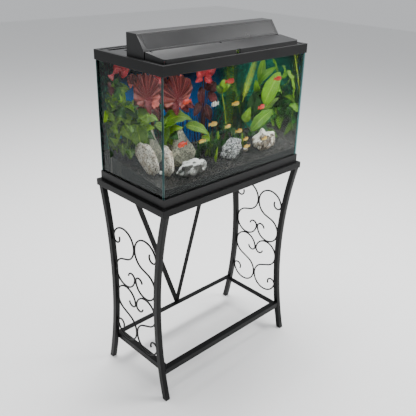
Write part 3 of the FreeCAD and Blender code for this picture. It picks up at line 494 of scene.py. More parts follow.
black_gravel, tree, shader = finish("black_gravel", 0.4)
shader.inputs["Specular IOR Level"].default_value = 0.22
fleck = clouds(tree, 700.0)
tones = ramp(tree, painted(tree, "tone")["X"], (0.0, (0.0006, 0.0006, 0.0007)), (0.5, (0.004, 0.0038, 0.0036)),
             (0.80, (0.04, 0.034, 0.029)), (1.0, (0.17, 0.15, 0.13)))
tree.links.new(blend_colours(tree, 0.35, tones, ramp(tree, fleck, (0.45, 0.0), (0.75, 0.03)), "ADD"),
               shader.inputs["Base Color"])
bump(tree, shader, fleck, 0.0003)

bm = bmesh.new()
tone_map = bm.loops.layers.uv.new("tone")
chance = random.Random(11)
columns, rows = 200, 100
lattice = []
for row in range(rows + 1):
    line = []
    for column in range(columns + 1):
        x = gravel_low.x + (gravel_high.x - gravel_low.x) * column / columns
        y = gravel_low.y + (gravel_high.y - gravel_low.y) * row / rows
        line.append(bm.verts.new((x, y, gravel_height(x, y) + chance.uniform(-1.4, 0.8) * MM)))
    lattice.append(line)
rim = lattice[0] + [line[-1] for line in lattice[1:]] + lattice[-1][-2::-1]
rim += [line[0] for line in lattice[-2:0:-1]]
for row in range(rows):
    for column in range(columns):
        near, far = lattice[row], lattice[row + 1]
        bm.faces.new((near[column], near[column + 1], far[column + 1], far[column]))
foot = [bm.verts.new((vert.co.x, vert.co.y, gravel_low.z)) for vert in rim]
for number, vert in enumerate(rim):
    after = (number + 1) % len(rim)
    bm.faces.new((vert, foot[number], foot[after], rim[after]))
bm.faces.new(foot)
# the bed's side faces, against the glass, get a dark tone of 0.1: painted shade seen between the grains there
for face in bm.faces:
    on_top = len(face.verts) == 4 and face.calc_center_median().z > gravel_low.z + 0.8 * FRONT_DEPTH
    shade = chance.random() ** 1.4 if on_top else 0.1
    for loop in face.loops:
        loop[tone_map].uv = (shade, 0)
bmesh.ops.recalc_face_normals(bm, faces=bm.faces)
gravel_bed = mesh_piece("gravel_bed_top", bm, black_gravel, smooth=False)
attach(gravel_bed, ROOT)
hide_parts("gravel_bed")

ball = bmesh.new()
bmesh.ops.create_icosphere(ball, subdivisions=1, radius=1.0)
ball_points = [vert.co.copy() for vert in ball.verts]
ball_faces = [[vert.index for vert in face.verts] for face in ball.faces]
ball.free()


def scatter_grains(name, places, seed):
    """One piece of many small stones, each a rough pebble with its own tone."""
    chance = random.Random(seed)
    points, faces, tones = [], [], []
    for place, radius in places:
        angle = chance.uniform(0, math.tau)
        turn = Matrix.Rotation(angle, 3, Vector((chance.random(), chance.random(), 0.3)).normalized())
        squash = Matrix.Diagonal((chance.uniform(0.75, 1.2), chance.uniform(0.7, 1.0), chance.uniform(0.5, 0.85)))
        start = len(points)
        rough = turn @ squash
        points += [place + rough @ point * radius * chance.uniform(0.82, 1.12) for point in ball_points]
        faces += [[start + corner for corner in face] for face in ball_faces]
        tones += [chance.random()] * (3 * len(ball_faces))
    mesh = bpy.data.meshes.new(name)
    mesh.from_pydata(points, [], faces)
    layer = mesh.uv_layers.new(name="tone")
    layer.data.foreach_set("uv", [part for value in tones for part in (value, 0.0)])
    mesh.materials.append(black_gravel)
    made = bpy.data.objects.new(name, mesh)
    bpy.context.scene.collection.objects.link(made)
    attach(made, ROOT)


places = []
chance = random.Random(23)
for _ in range(5200):
    radius = chance.uniform(1.3, 2.9) * MM
    x = chance.uniform(gravel_low.x + radius, gravel_high.x - radius)
    y = gravel_low.y + radius + (gravel_high.y - gravel_low.y - 2 * radius) * chance.random() ** 1.35
    places.append((Vector((x, y, gravel_height(x, y) + 0.2 * radius)), radius))
scatter_grains("gravel_grains", places, 5)
places = []
for _ in range(6500):
    radius = chance.uniform(1.2, 2.4) * MM
    against_front = chance.random() < 0.68
    x, y = gravel_low.x + 0.8 * radius, gravel_low.y + 0.8 * radius
    if against_front:
        x = chance.uniform(gravel_low.x + radius, gravel_high.x - radius)
    else:
        y = chance.uniform(gravel_low.y + radius, gravel_high.y - radius)
    z = gravel_low.z + radius + (gravel_height(x, y) - gravel_low.z - radius) * chance.random()
    places.append((Vector((x, y, z)), radius))
scatter_grains("grains_at_the_glass", places, 6)


# ---------------------------------------------------------------- rocks
# Five natural stones set into the gravel: an olive-grey slab, a speckled beige shield, a flat boulder with paler
# patches on top, a round black and white cobble and a lumpy beige pair grown together, with two small spare stones.
def stone_finish(name, dark, light, fleck_colour, scale, fleck_amount, top_colour=None):
    """Mottled stone with flecks; a top colour, if given, is laid in patches, most of them on what faces up."""
    material, tree, shader = finish(name, 0.62)
    body = clouds(tree, scale, 9.0, 0.7)
    colour = ramp(tree, body, (0.35, dark), (0.62, light))
    cells = add(tree, "TexVoronoi", Vector=place_of(tree), Scale=scale * 6.5, feature="SMOOTH_F1")
    flecks = clouds(tree, scale * 5.0, 5.0, 0.8)
    mask = ramp(tree, flecks, (0.5 - fleck_amount, 1.0), (0.56 - fleck_amount, 0.0))
    colour = blend_colours(tree, mask, colour, fleck_colour)
    if top_colour:
        facing = add(tree, "SeparateXYZ", Vector=add(tree, "NewGeometry").outputs["Normal"]).outputs["Z"]
        # paler patches, most of them where the surface faces up
        top_patches = maths(tree, "ADD", maths(tree, "MULTIPLY", facing, 0.35), flecks)
        colour = blend_colours(tree, ramp(tree, top_patches, (0.60, 0.0), (0.68, 1.0)), colour, top_colour)
    tree.links.new(colour, shader.inputs["Base Color"])
    height = maths(tree, "ADD", body, maths(tree, "MULTIPLY", cells.outputs["Distance"], 0.3))
    bump(tree, shader, height, 0.0022)
    return material


def stone(name, node, shape, material, lumps, size, cuts, seed):
    """A boulder filling a CAD stone's box: noise lumps, then flat faces cut by planes."""
    low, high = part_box(node)
    bm = bmesh.new()
    bmesh.ops.create_icosphere(bm, subdivisions=5, radius=1.0)
    centre, half = (low + high) / 2, (high - low) / 2
    for vert in bm.verts:
        way = vert.co.normalized()
        for plane, depth in cuts:
            out = way.dot(Vector(plane).normalized())
            if out > depth:
                way *= depth / out * 0.75 + 0.25
        lump = 1 + lumps * noise.noise(way * size * 0.17 + Vector((seed, 0, 0))) * 2
        lump += 0.35 * lumps * noise.noise(way * size * 0.6 + Vector((0, seed, 0)))
        lump += 0.08 * lumps * noise.noise(way * size * 2.4)
        vert.co = shape(way * lump)
    corners = [Vector((min(v.co[i] for v in bm.verts), max(v.co[i] for v in bm.verts), 0)) for i in range(3)]
    sunk = low.z - 12 * MM
    for vert in bm.verts:
        share = [(vert.co[i] - corners[i].x) / (corners[i].y - corners[i].x) * 2 - 1 for i in range(3)]
        vert.co = Vector((centre.x + share[0] * half.x, centre.y + share[1] * half.y,
                          sunk + (share[2] + 1) / 2 * (high.z - sunk)))
    made = mesh_piece(name, bm, material)
    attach(made, ROOT)
    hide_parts(node)


slab_stone = stone_finish("slab_stone", (0.09, 0.09, 0.055), (0.42, 0.39, 0.27), (0.045, 0.045, 0.03), 34.0, 0.05)
beige_stone = stone_finish("beige_stone", (0.38, 0.29, 0.19), (0.86, 0.80, 0.69), (0.07, 0.045, 0.03), 42.0, 0.06)
dark_boulder = stone_finish("dark_boulder", (0.012, 0.011, 0.010), (0.07, 0.065, 0.055), (0.22, 0.2, 0.17), 105.0, 0.1,
                            top_colour=(0.74, 0.72, 0.68))
cobble_stone = stone_finish("cobble_stone", (0.45, 0.44, 0.42), (0.88, 0.87, 0.85), (0.006, 0.006, 0.006), 40.0, 0.015)
lumpy_stone = stone_finish("lumpy_stone", (0.14, 0.075, 0.03), (0.78, 0.68, 0.52), (0.035, 0.018, 0.008), 19.0, 0.05,
                           top_colour=(0.80, 0.75, 0.66))


def leaning_slab(way):
    """Narrows to a rounded peak left of the middle, and leans back."""
    taper = 1 - 0.42 * max(0.0, way.z)
    return Vector((way.x * taper - 0.12 * way.z, way.y * (1 - 0.3 * way.z), way.z))


def shield(way):
    """Broad above, drawn to a blunt point low at the front."""
    low_end = max(0.0, -way.z)
    return Vector((way.x, way.y * (1 - 0.35 * low_end) - 0.35 * low_end, way.z + 0.1 * way.y))


def flat_boulder(way):
    return Vector((way.x, way.y, math.copysign(abs(way.z) ** 0.8, way.z)))


def cobble(way):
    return Vector((way.x * (1 + 0.16 * way.z), way.y, way.z + 0.2 * way.x))


def two_lobes(way):
    """A tall lobe at the left, a low one at the right and a saddle between."""
    lobe = 0.34 * math.exp(-((way.x + 0.45) / 0.42) ** 2) + 0.05 * math.exp(-((way.x - 0.75) / 0.3) ** 2)
    return Vector((way.x, way.y, way.z * (0.72 + 1.1 * lobe) if way.z > 0 else way.z * 0.8))


stone("slab_rock", "grey_slab_rock", leaning_slab, slab_stone, 0.10, 9,
      [((0.2, -1, 0.2), 0.5), ((-1, -0.3, 0.6), 0.72), ((1, -0.2, 0.5), 0.75)], 3)
stone("shield_rock", "beige_upright_rock", shield, beige_stone, 0.12, 10, [((-1, -0.2, 0), 0.7)], 5)
stone("flat_boulder_rock", "flat_rock", flat_boulder, dark_boulder, 0.17, 13, [((0, 0, 1), 0.72)], 8)
stone("cobble_rock", "round_rock", cobble, cobble_stone, 0.13, 14, [], 12)
stone("lumpy_rock", "two_lobed_rock", two_lobes, lumpy_stone, 0.22, 12, [], 17)


def spare_stone(name, place, size, material, seed):
    bm = bmesh.new()
    bmesh.ops.create_icosphere(bm, subdivisions=4, radius=1.0)
    for vert in bm.verts:
        lump = 1 + 0.3 * noise.noise(vert.co * 1.4 + Vector((seed, 0, 0))) + 0.06 * noise.noise(vert.co * 6)
        vert.co = Vector(place) + Vector([vert.co[i] * size[i] * lump for i in range(3)])
    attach(mesh_piece(name, bm, material), ROOT)


spare_stone("pale_topped_pebble", (-0.196, -0.076, 0.797), (0.016, 0.010, 0.008), dark_boulder, 2)
spare_stone("brown_pebble", (0.105, -0.052, 0.801), (0.011, 0.009, 0.009), lumpy_stone, 4)

# ---------------------------------------------------------------- plants
# Rooted aquarium plants: leaves of waxy green or wine red with a pale midrib and side veins, on round stalks. Most
# leaves face the front left, and up to the lamp.
def leaf_finish(name, deep, light, rib, roughness=0.38, side_veins=9.0, blotch=0.5, fan=0.0):
    """u runs along the leaf and v across it in the leaf map; a fan is the count of veins spread from its middle."""
    material, tree, shader = finish(name, roughness)
    shader.inputs["Specular IOR Level"].default_value = 0.3
    along, across = painted(tree, "leaf")["X"], painted(tree, "leaf")["Y"]
    from_rib = maths(tree, "ABSOLUTE", maths(tree, "SUBTRACT", across, 0.5))
    slant = maths(tree, "SUBTRACT", along, maths(tree, "MULTIPLY", from_rib, 0.7))
    saw = maths(tree, "PINGPONG", maths(tree, "MULTIPLY", slant, side_veins), 0.5)
    if fan:
        saw = maths(tree, "PINGPONG", maths(tree, "MULTIPLY", across, fan), 0.5)
    veins = ramp(tree, saw, (0.0, 1.0), (0.16 if fan else 0.1, 0.0))
    middle = ramp(tree, maths(tree, "ADD", from_rib, 1.0) if fan else from_rib, (0.0, 1.0), (0.045, 0.0))
    cloud = clouds(tree, 45.0, 5.0, 0.65)
    mixed = maths(tree, "ADD", maths(tree, "MULTIPLY", cloud, blotch),
                  maths(tree, "MULTIPLY", painted(tree, "tone")["X"], 1 - blotch))
    colour = ramp(tree, mixed, (0.25, deep), (0.75, light))
    if fan:
        to_rim = maths(tree, "ADD", from_rib, maths(tree, "MULTIPLY", cloud, 0.3))
        blush = ramp(tree, to_rim, (0.38, 0.0), (0.62, 0.75))
        colour = blend_colours(tree, blush, colour, rib)
    colour = blend_colours(tree, maths(tree, "MULTIPLY", veins, 0.45), colour, rib)
    colour = blend_colours(tree, maths(tree, "MULTIPLY", middle, 0.8), colour, rib)
    tree.links.new(colour, shader.inputs["Base Color"])
    lines = maths(tree, "MAXIMUM", veins, middle)
    bump(tree, shader, maths(tree, "ADD", maths(tree, "MULTIPLY", lines, -0.6), cloud), 0.0006)
    return material


bright_leaf = leaf_finish("bright_leaf", (0.007, 0.045, 0.001), (0.17, 0.34, 0.004), (0.34, 0.52, 0.03))
dark_leaf = leaf_finish("dark_leaf", (0.002, 0.022, 0.001), (0.012, 0.09, 0.004), (0.05, 0.18, 0.015))
sword_leaf = leaf_finish("sword_leaf", (0.03, 0.14, 0.002), (0.20, 0.44, 0.008), (0.42, 0.62, 0.06), side_veins=15.0)
feather_leaf = leaf_finish("feather_leaf", (0.22, 0.40, 0.003), (0.62, 0.74, 0.02), (0.7, 0.8, 0.08))
wine_leaf = leaf_finish("wine_leaf", (0.020, 0.002, 0.003), (0.13, 0.010, 0.014), (0.34, 0.08, 0.07), side_veins=22.0)
pleated_leaf = leaf_finish("pleated_leaf", (0.008, 0.001, 0.001), (0.12, 0.007, 0.010), (0.50, 0.12, 0.09), fan=17.0,
                           blotch=0.85)
coral_leaf = leaf_finish("coral_leaf", (0.20, 0.006, 0.012), (0.52, 0.03, 0.045), (0.78, 0.22, 0.20), side_veins=16.0)


class Plant:
    """One plant as one piece: leaves and stalks gathered in a mesh with its leaf and tone maps."""

    def __init__(self, name, node, slot, materials, seed):
        self.name, self.node, self.slot, self.materials = name, node, slot, materials
        self.bm = bmesh.new()
        self.leaf_map = self.bm.loops.layers.uv.new("leaf")
        self.tone_map = self.bm.loops.layers.uv.new("tone")
        self.chance = random.Random(seed)

    def paint(self, faces, spots, tone, material):
        for face in faces:
            face.material_index = material
            for loop in face.loops:
                loop[self.leaf_map].uv = spots[loop.vert]
                loop[self.tone_map].uv = (tone, 0.5)

    def sheet(self, point, rows, columns, material, tone):
        """A curved sheet from a function of its own two directions."""
        grid = [[self.bm.verts.new(point(row / rows, column / columns)) for column in range(columns + 1)]
                for row in range(rows + 1)]
        spots = {grid[row][column]: (row / rows, column / columns)
                 for row in range(rows + 1) for column in range(columns + 1)}
        faces = []
        for row in range(rows):
            for column in range(columns):
                low, high = grid[row], grid[row + 1]
                faces.append(self.bm.faces.new((low[column], low[column + 1], high[column + 1], high[column])))
        self.paint(faces, spots, tone, material)

    def leaf(self, base, tip, width, facing, kind="heart", bow=0.12, cup=0.12, ruffle=0.03, material=0, tone=None):
        """One leaf from its base to its tip, its face turned to facing."""
        base, tip, facing = Vector(base), Vector(tip), Vector(facing)
        axis = tip - base
        length = axis.length
        along = axis.normalized()
        face = (facing - along * facing.dot(along)).normalized()
        side = face.cross(along)
        phase = self.chance.uniform(0, math.tau)
        outlines = {
            "heart": lambda t: max(0.0, math.sin(math.pi * t ** 0.55)) ** 0.85,
            "oval": lambda t: max(0.0, math.sin(math.pi * t ** 0.86)) ** 0.62,
            "blade": lambda t: max(0.0, math.sin(math.pi * min(1, t + 0.12) ** 1.3)) ** 0.6 if t < 0.985 else 0.0,
        }
        outline = outlines[kind]

        def point(t, s):
            spread = 2 * s - 1
            half = 0.5 * width * outline(t)
            wave = math.sin(math.tau * 3.2 * t + phase + (1.9 if spread < 0 else 0))
            lift = bow * length * math.sin(math.pi * t) + cup * half * abs(spread) ** 1.3
            lift += ruffle * width * spread * spread * wave
            return base + axis * t + side * half * spread + face * lift

        shade = self.chance.random() if tone is None else tone
        self.sheet(point, 14, 8, material, shade)

    def pad(self, centre, facing, radius, notch, crinkle=0.16, material=0, tone=None):
        """A round, crinkled lily leaf with a notch: pleats run out from the stalk and the rim flares."""
        centre, facing = Vector(centre), Vector(facing).normalized()
        down = Vector(notch)
        down = (down - facing * down.dot(facing)).normalized()
        side = facing.cross(down)
        phase = self.chance.uniform(0, math.tau)

        def point(r, s):
            angle = math.tau * (0.035 + 0.93 * s)
            rim = radius * (1 + 0.07 * math.sin(4 * angle + phase) + 0.05 * math.sin(13 * angle)
                            + 0.03 * math.sin(29 * angle))
            pleat = math.sin(13 * angle + phase) * crinkle * 0.6 + math.sin(29 * angle) * crinkle * 0.22
            lift = radius * (0.34 * r * r + pleat * r ** 1.5 + 0.22 * r ** 3 * math.sin(3 * angle + phase))
            return centre + (down * math.cos(angle) + side * math.sin(angle)) * rim * r + facing * lift \
                + down * (1 - r) * 0.42 * radius

        shade = self.chance.random() if tone is None else tone
        self.sheet(lambda t, s: point(0.04 + 0.96 * t, s), 10, 72, material, shade)

    def stalk(self, *points, thick=1.5, material=0, tone=0.3):
        """A round stalk through points, tapering a little."""
        ends = [Vector(p) for p in points]
        path = []
        for number in range(len(ends) - 1):
            before, start, stop, after = (ends[max(0, number - 1)], ends[number], ends[number + 1],
                                          ends[min(len(ends) - 1, number + 2)])
            for step in range(6):
                t = step / 6
                pull, push = (stop - before) / 2, (after - start) / 2
                path.append(start * (2 * t ** 3 - 3 * t * t + 1) + pull * (t ** 3 - 2 * t * t + t)
                            + stop * (3 * t * t - 2 * t ** 3) + push * (t ** 3 - t * t))
        path.append(ends[-1])
        radii = [thick * MM * (1 - 0.35 * number / len(path)) for number in range(len(path))]
        faces = tube(self.bm, path, radii, 6)
        spots = {vert: (0.5, 0.25) for face in faces for vert in face.verts}
        self.paint(faces, spots, tone, material)

    def rooted(self, root, base, share, lean, **look):
        """A stalk from a root to a leaf's base, leaning at a share of the way."""
        self.stalk(root, root.lerp(Vector(base), share) + Vector(lean), base, **look)

    def done(self):
        made = mesh_piece(self.name, self.bm, *self.materials)
        skin = made.modifiers.new("thickness", "SOLIDIFY")
        skin.thickness = 0.45 * MM
        skin.offset = 0
        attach(made, ROOT)
        if self.node:
            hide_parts(self.node)


def ground(x, y):
    return Vector((x, y, gravel_height(x, y) - 4 * MM))


OUTLOOK = Vector((-0.62, -0.66, 0.42))  # the way most leaves face

# red tiger lotus: one great pleated pad high at the front left, smaller ones under and behind it
lotus = Plant("red_lotus", "red_lotus_plant", "red_leaf", [pleated_leaf, wine_leaf, coral_leaf], 31)
root = ground(-0.150, 0.042)
for centre, facing, radius, notch, material, tone in (
    ((-0.147, 0.030, 1.019), (-0.70, -0.62, 0.30), 0.054, (0.3, 0.0, -1), 0, 0.55),
    ((-0.150, 0.066, 0.972), (-0.6, -0.60, 0.35), 0.026, (0.1, 0.2, -1), 0, 0.2),
    ((-0.178, 0.070, 1.046), (-0.8, -0.3, 0.3), 0.022, (0.1, 0, -1), 0, 0.1),
):
    lotus.pad(centre, facing, radius, notch, material=material, tone=tone)
    lotus.rooted(root, centre, 0.5, (0, 0.012, 0.01), thick=1.6, material=1, tone=0.1)
for base, tip in (
    ((-0.150, 0.024, 1.004), (-0.128, -0.012, 0.962)),
    ((-0.142, 0.026, 1.006), (-0.096, 0.008, 0.968)),
    ((-0.160, 0.026, 1.000), (-0.168, -0.004, 0.958)),
):
    lotus.leaf(base, tip, 0.026, OUTLOOK, "oval", 0.10, 0.2, 0.14, 1, 0.9)
lotus.done()

# broad-leaved crypts at the left front: big bright hearts, folded and overlapping
broad = Plant("broadleaf", "broadleaf_plant", "green_leaf", [bright_leaf, dark_leaf], 47)
root = ground(-0.222, 0.062)
for base, tip, width, facing, bow in (
    ((-0.196, 0.058, 0.922), (-0.104, 0.006, 0.932), 0.062, (-0.35, -0.55, 0.75), 0.30),
    ((-0.132, 0.004, 0.922), (-0.044, -0.022, 0.872), 0.036, (-0.2, -0.75, 0.65), 0.16),
    ((-0.208, 0.030, 0.922), (-0.226, -0.004, 0.842), 0.074, (-0.85, -0.45, 0.3), 0.14),
    ((-0.196, 0.020, 0.935), (-0.240, -0.046, 0.948), 0.046, (-0.5, -0.2, 0.85), 0.22),
    ((-0.210, 0.072, 0.905), (-0.252, 0.054, 0.842), 0.060, (-0.9, -0.3, 0.25), 0.12),
    ((-0.204, 0.084, 0.950), (-0.238, 0.050, 0.990), 0.044, (-0.8, -0.4, 0.45), 0.15),
    ((-0.230, 0.066, 0.955), (-0.262, 0.040, 0.915), 0.048, (-0.85, -0.4, 0.4), 0.15),
    ((-0.190, 0.040, 0.900), (-0.150, -0.014, 0.918), 0.034, (-0.4, -0.6, 0.7), 0.2),
    ((-0.236, 0.090, 0.870), (-0.270, 0.062, 0.822), 0.050, (-0.85, -0.5, 0.2), 0.12),
    ((-0.168, 0.050, 0.905), (-0.196, -0.016, 0.872), 0.050, (-0.6, -0.6, 0.5), 0.14),
):
    broad.leaf(base, tip, width, facing, "heart", bow, 0.10, 0.05)
    broad.rooted(root, base, 0.6, (0, 0.01, 0), thick=1.3, tone=0.7)
chance = broad.chance
for _ in range(26):
    base = Vector((chance.uniform(-0.270, -0.178), chance.uniform(0.020, 0.106), chance.uniform(0.846, 0.985)))
    way = Vector((chance.uniform(-1, 0.5), chance.uniform(-1, -0.1), chance.uniform(-0.7, 0.4))).normalized()
    tip, width = base + way * chance.uniform(0.040, 0.058), chance.uniform(0.034, 0.052)
    facing = OUTLOOK + Vector((chance.uniform(-0.4, 0.4), chance.uniform(-0.4, 0.4), 0.1))
    broad.leaf(base, tip, width, facing, "heart", 0.15, 0.1, 0.05, 1 if chance.random() < 0.35 else 0)
    broad.rooted(root, base, 0.55, (0, 0.012, 0), thick=1.1, tone=0.6)
broad.done()


def thicket(plant, centre, spread, count, sizes, kinds, dark):
    """Leaves at random in an oval space, turned mostly to the light and the front."""
    chance = plant.chance
    root = ground(centre[0], centre[1])
    for _ in range(count):
        while True:
            offset = Vector([chance.uniform(-1, 1) for _ in range(3)])
            if offset.length < 1:
                break
        base = Vector([centre[i] + 0.8 * spread[i] * offset[i] for i in range(3)])
        way = Vector((chance.uniform(-1, 0.8), chance.uniform(-1, 0.2), chance.uniform(-0.9, 0.9))).normalized()
        length = chance.uniform(*sizes)
        facing = OUTLOOK + Vector([chance.uniform(-0.5, 0.5) for _ in range(3)])
        plant.leaf(base, base + way * length, length * chance.uniform(0.55, 0.8), facing, "heart", 0.14, 0.1, 0.05,
                   kinds[1] if chance.random() < dark else kinds[0])
        plant.rooted(root, base, 0.6, (0, 0.008, 0), thick=1.0, tone=0.5)


# tall stems in the left back corner, with two pink young tops
rear = Plant("left_rear_stems", "left_rear_plant", "green_leaf", [bright_leaf, dark_leaf, coral_leaf, wine_leaf], 53)
thicket(rear, (-0.240, 0.116, 0.940), (0.050, 0.026, 0.130), 44, (0.036, 0.060), (0, 1), 0.45)
thicket(rear, (-0.270, 0.124, 0.920), (0.018, 0.018, 0.140), 34, (0.034, 0.052), (0, 1), 0.35)
for base, tip, width, material in (
    ((-0.226, 0.128, 1.070), (-0.246, 0.070, 1.088), 0.042, 2),
    ((-0.212, 0.110, 1.060), (-0.200, 0.070, 1.086), 0.034, 2),
    ((-0.250, 0.132, 1.040), (-0.270, 0.110, 1.000), 0.026, 3),
    ((-0.258, 0.124, 1.062), (-0.276, 0.096, 1.050), 0.024, 2),
):
    rear.leaf(base, tip, width, OUTLOOK, "oval", 0.15, 0.2, 0.08, material)
    rear.stalk(ground(-0.240, 0.124), (-0.246, 0.130, 0.96), base, thick=1.3, material=3)
rear.done()

# red stems in the middle of the back: coral young leaves over dark old ones
red = Plant("red_stems", "red_rear_plant", "red_leaf", [coral_leaf, wine_leaf], 61)
root = ground(-0.004, 0.104)
for base, tip, width, facing, material, tone in (
    ((-0.012, 0.092, 1.040), (-0.048, 0.080, 1.074), 0.030, (-0.4, -0.9, 0.2), 0, 0.6),
    ((-0.006, 0.090, 1.042), (-0.004, 0.078, 1.088), 0.034, (-0.4, -0.9, 0.2), 0, 0.8),
    ((0.000, 0.090, 1.040), (0.038, 0.082, 1.076), 0.030, (-0.3, -0.9, 0.3), 0, 0.5),
    ((-0.004, 0.088, 1.044), (0.010, 0.066, 1.022), 0.026, (-0.4, -0.9, 0.4), 0, 0.2),
    ((-0.014, 0.092, 1.040), (-0.050, 0.076, 1.032), 0.022, (-0.4, -0.9, 0.4), 0, 0.4),
    ((-0.010, 0.104, 1.010), (-0.020, 0.086, 0.950), 0.026, (-0.6, -0.8, 0.1), 1, 0.3),
    ((0.014, 0.100, 1.016), (0.052, 0.088, 0.992), 0.034, (-0.4, -0.9, 0.3), 1, 0.2),
    ((0.018, 0.100, 0.990), (0.050, 0.090, 0.950), 0.030, (-0.5, -0.9, 0.2), 1, 0.5),
    ((0.004, 0.100, 1.000), (0.030, 0.080, 1.020), 0.028, (-0.5, -0.9, 0.3), 1, 0.1),
    ((-0.014, 0.104, 0.960), (-0.046, 0.094, 0.920), 0.028, (-0.5, -0.9, 0.2), 1, 0.1),
    ((0.010, 0.100, 0.950), (0.022, 0.090, 0.896), 0.030, (-0.5, -0.9, 0.2), 1, 0.1),
):
    red.leaf(base, tip, width, facing, "oval", 0.12, 0.2, 0.08, material, tone)
    red.rooted(root, base, 0.6, (0, 0, 0), thick=1.5, material=1, tone=0.2)
red.done()

# feathery stems right of the middle: a yellow-green frond, fine needle whorls and a pale fan
fern = Plant("feather_stems", "fern_plant", "green_leaf", [feather_leaf, dark_leaf, bright_leaf], 71)


def frond(plant, points, leaflets, size, material):
    """A feather: thin leaflets in pairs along a curved rib."""
    ends = [Vector(p) for p in points]
    plant.stalk(*ends, thick=1.0, material=material, tone=0.6)
    for number in range(leaflets):
        t = 0.12 + 0.88 * number / leaflets
        first = ends[0].lerp(ends[1], t)
        place = first.lerp(ends[1].lerp(ends[2], t), t)
        ahead = (ends[1].lerp(ends[2], t) - first).normalized()
        side = ahead.cross(OUTLOOK).normalized()
        reach = size * math.sin(math.pi * (0.15 + 0.8 * t)) ** 0.7
        for hand in (-1, 1):
            tip = place + side * hand * reach + ahead * reach * 0.55
            plant.leaf(place, tip, reach * 0.12, OUTLOOK, "blade", 0.05, 0.1, 0.02, material)


def needle_stem(plant, bottom, top, whorls, reach, material):
    bottom, top = Vector(bottom), Vector(top)
    plant.stalk(bottom, bottom.lerp(top, 0.5) + Vector((0.003, -0.002, 0)), top, thick=1.0, material=material)
    for number in range(whorls):
        centre = bottom.lerp(top, 0.15 + 0.85 * number / whorls)
        for arm in range(7):
            angle = math.tau * arm / 7 + number * 0.7
            tip = centre + Vector((math.cos(angle), 0.8 * math.sin(angle), 0.55)).normalized() * reach
            side = Vector((-math.sin(angle), math.cos(angle), 0)) * 0.0011
            corners = [plant.bm.verts.new(p) for p in (centre - side, centre + side, tip)]
            face = plant.bm.faces.new(corners)
            plant.paint([face], {vert: (0.5, 0.3) for vert in corners}, plant.chance.random(), material)


frond(fern, ((0.150, 0.058, 0.940), (0.176, 0.054, 1.020), (0.206, 0.050, 1.090)), 26, 0.016, 0)
frond(fern, ((0.150, 0.072, 0.900), (0.118, 0.070, 0.990), (0.080, 0.066, 1.050)), 22, 0.015, 2)
for x, y, top, material in ((0.128, 0.090, 1.050, 1), (0.146, 0.104, 1.064, 1), (0.166, 0.096, 1.046, 1),
                            (0.184, 0.104, 1.010, 1), (0.110, 0.104, 1.082, 2), (0.136, 0.116, 1.086, 0),
                            (0.158, 0.082, 1.000, 1), (0.120, 0.078, 0.980, 1), (0.096, 0.092, 1.070, 2)):
    needle_stem(fern, ground(x + 0.004, y), (x, y, top), 24, 0.019, material)
for base, tip, width in (((0.062, 0.072, 0.985), (0.030, 0.062, 1.014), 0.024),
                         ((0.062, 0.072, 0.985), (0.062, 0.060, 1.030), 0.026),
                         ((0.062, 0.072, 0.985), (0.092, 0.062, 1.012), 0.022)):
    fern.leaf(base, tip, width, OUTLOOK, "oval", 0.12, 0.1, 0.04, 2)
fern.stalk(ground(0.100, 0.080), (0.084, 0.078, 0.900), (0.062, 0.072, 0.985), thick=1.2)
fern.done()

# sword plant at the right front: long ribbed paddles, low hearts and one dark heart
sword = Plant("sword_leaves", "sword_plant", "green_leaf", [sword_leaf, bright_leaf, dark_leaf], 83)
root = ground(0.202, 0.008)
for base, tip, width, facing, kind, material in (
    ((0.222, 0.004, 0.925), (0.282, -0.016, 1.034), 0.066, (-0.45, -0.65, 0.62), "oval", 0),
    ((0.158, -0.002, 0.846), (0.256, -0.016, 0.906), 0.052, (-0.3, -0.65, 0.75), "oval", 0),
    ((0.124, -0.004, 0.884), (0.146, -0.010, 0.934), 0.036, (-0.5, -0.8, 0.3), "heart", 1),
    ((0.216, -0.004, 0.914), (0.286, -0.016, 0.944), 0.026, (-0.3, -0.8, 0.5), "heart", 1),
    ((0.232, -0.012, 0.838), (0.286, -0.030, 0.800), 0.028, (-0.3, -0.8, 0.5), "heart", 1),
    ((0.170, 0.018, 0.890), (0.160, 0.010, 0.970), 0.032, (-0.6, -0.75, 0.3), "oval", 2),
    ((0.210, 0.020, 0.870), (0.196, 0.014, 0.960), 0.036, (-0.6, -0.75, 0.3), "oval", 2),
    ((0.228, 0.010, 0.860), (0.262, 0.000, 0.880), 0.034, (-0.4, -0.7, 0.6), "heart", 2),
    ((0.186, 0.010, 0.835), (0.146, 0.002, 0.832), 0.028, (-0.3, -0.7, 0.7), "oval", 2),
    ((0.196, 0.006, 0.850), (0.236, -0.020, 0.836), 0.030, (-0.3, -0.7, 0.7), "oval", 2),
):
    sword.leaf(base, tip, width, facing, kind, 0.10, 0.14, 0.05, material)
    sword.rooted(root, base, 0.5, (0.004, 0.004, 0), thick=1.4, material=material)
sword.done()

# arching swords in the right back corner, dark and dense low down
arch = Plant("arching_leaves", "arching_sword_plant", "green_leaf", [sword_leaf, dark_leaf, bright_leaf], 97)
thicket(arch, (0.252, 0.098, 0.910), (0.036, 0.040, 0.095), 52, (0.034, 0.054), (1, 1), 0.5)
thicket(arch, (0.244, 0.060, 0.872), (0.044, 0.034, 0.040), 26, (0.026, 0.042), (1, 2), 0.12)
for base, tip, width, bow in (
    ((0.240, 0.080, 0.990), (0.286, 0.020, 1.046), 0.030, 0.20),
    ((0.256, 0.090, 0.980), (0.280, 0.110, 1.070), 0.034, 0.10),
    ((0.244, 0.086, 0.960), (0.206, 0.050, 1.010), 0.028, 0.18),
    ((0.262, 0.070, 0.950), (0.290, 0.030, 0.960), 0.028, 0.25),
):
    arch.leaf(base, tip, width, OUTLOOK, "oval", bow, 0.14, 0.06, 0)
    arch.stalk(ground(0.250, 0.104), (0.252, 0.100, 0.90), base, thick=1.4)
arch.done()

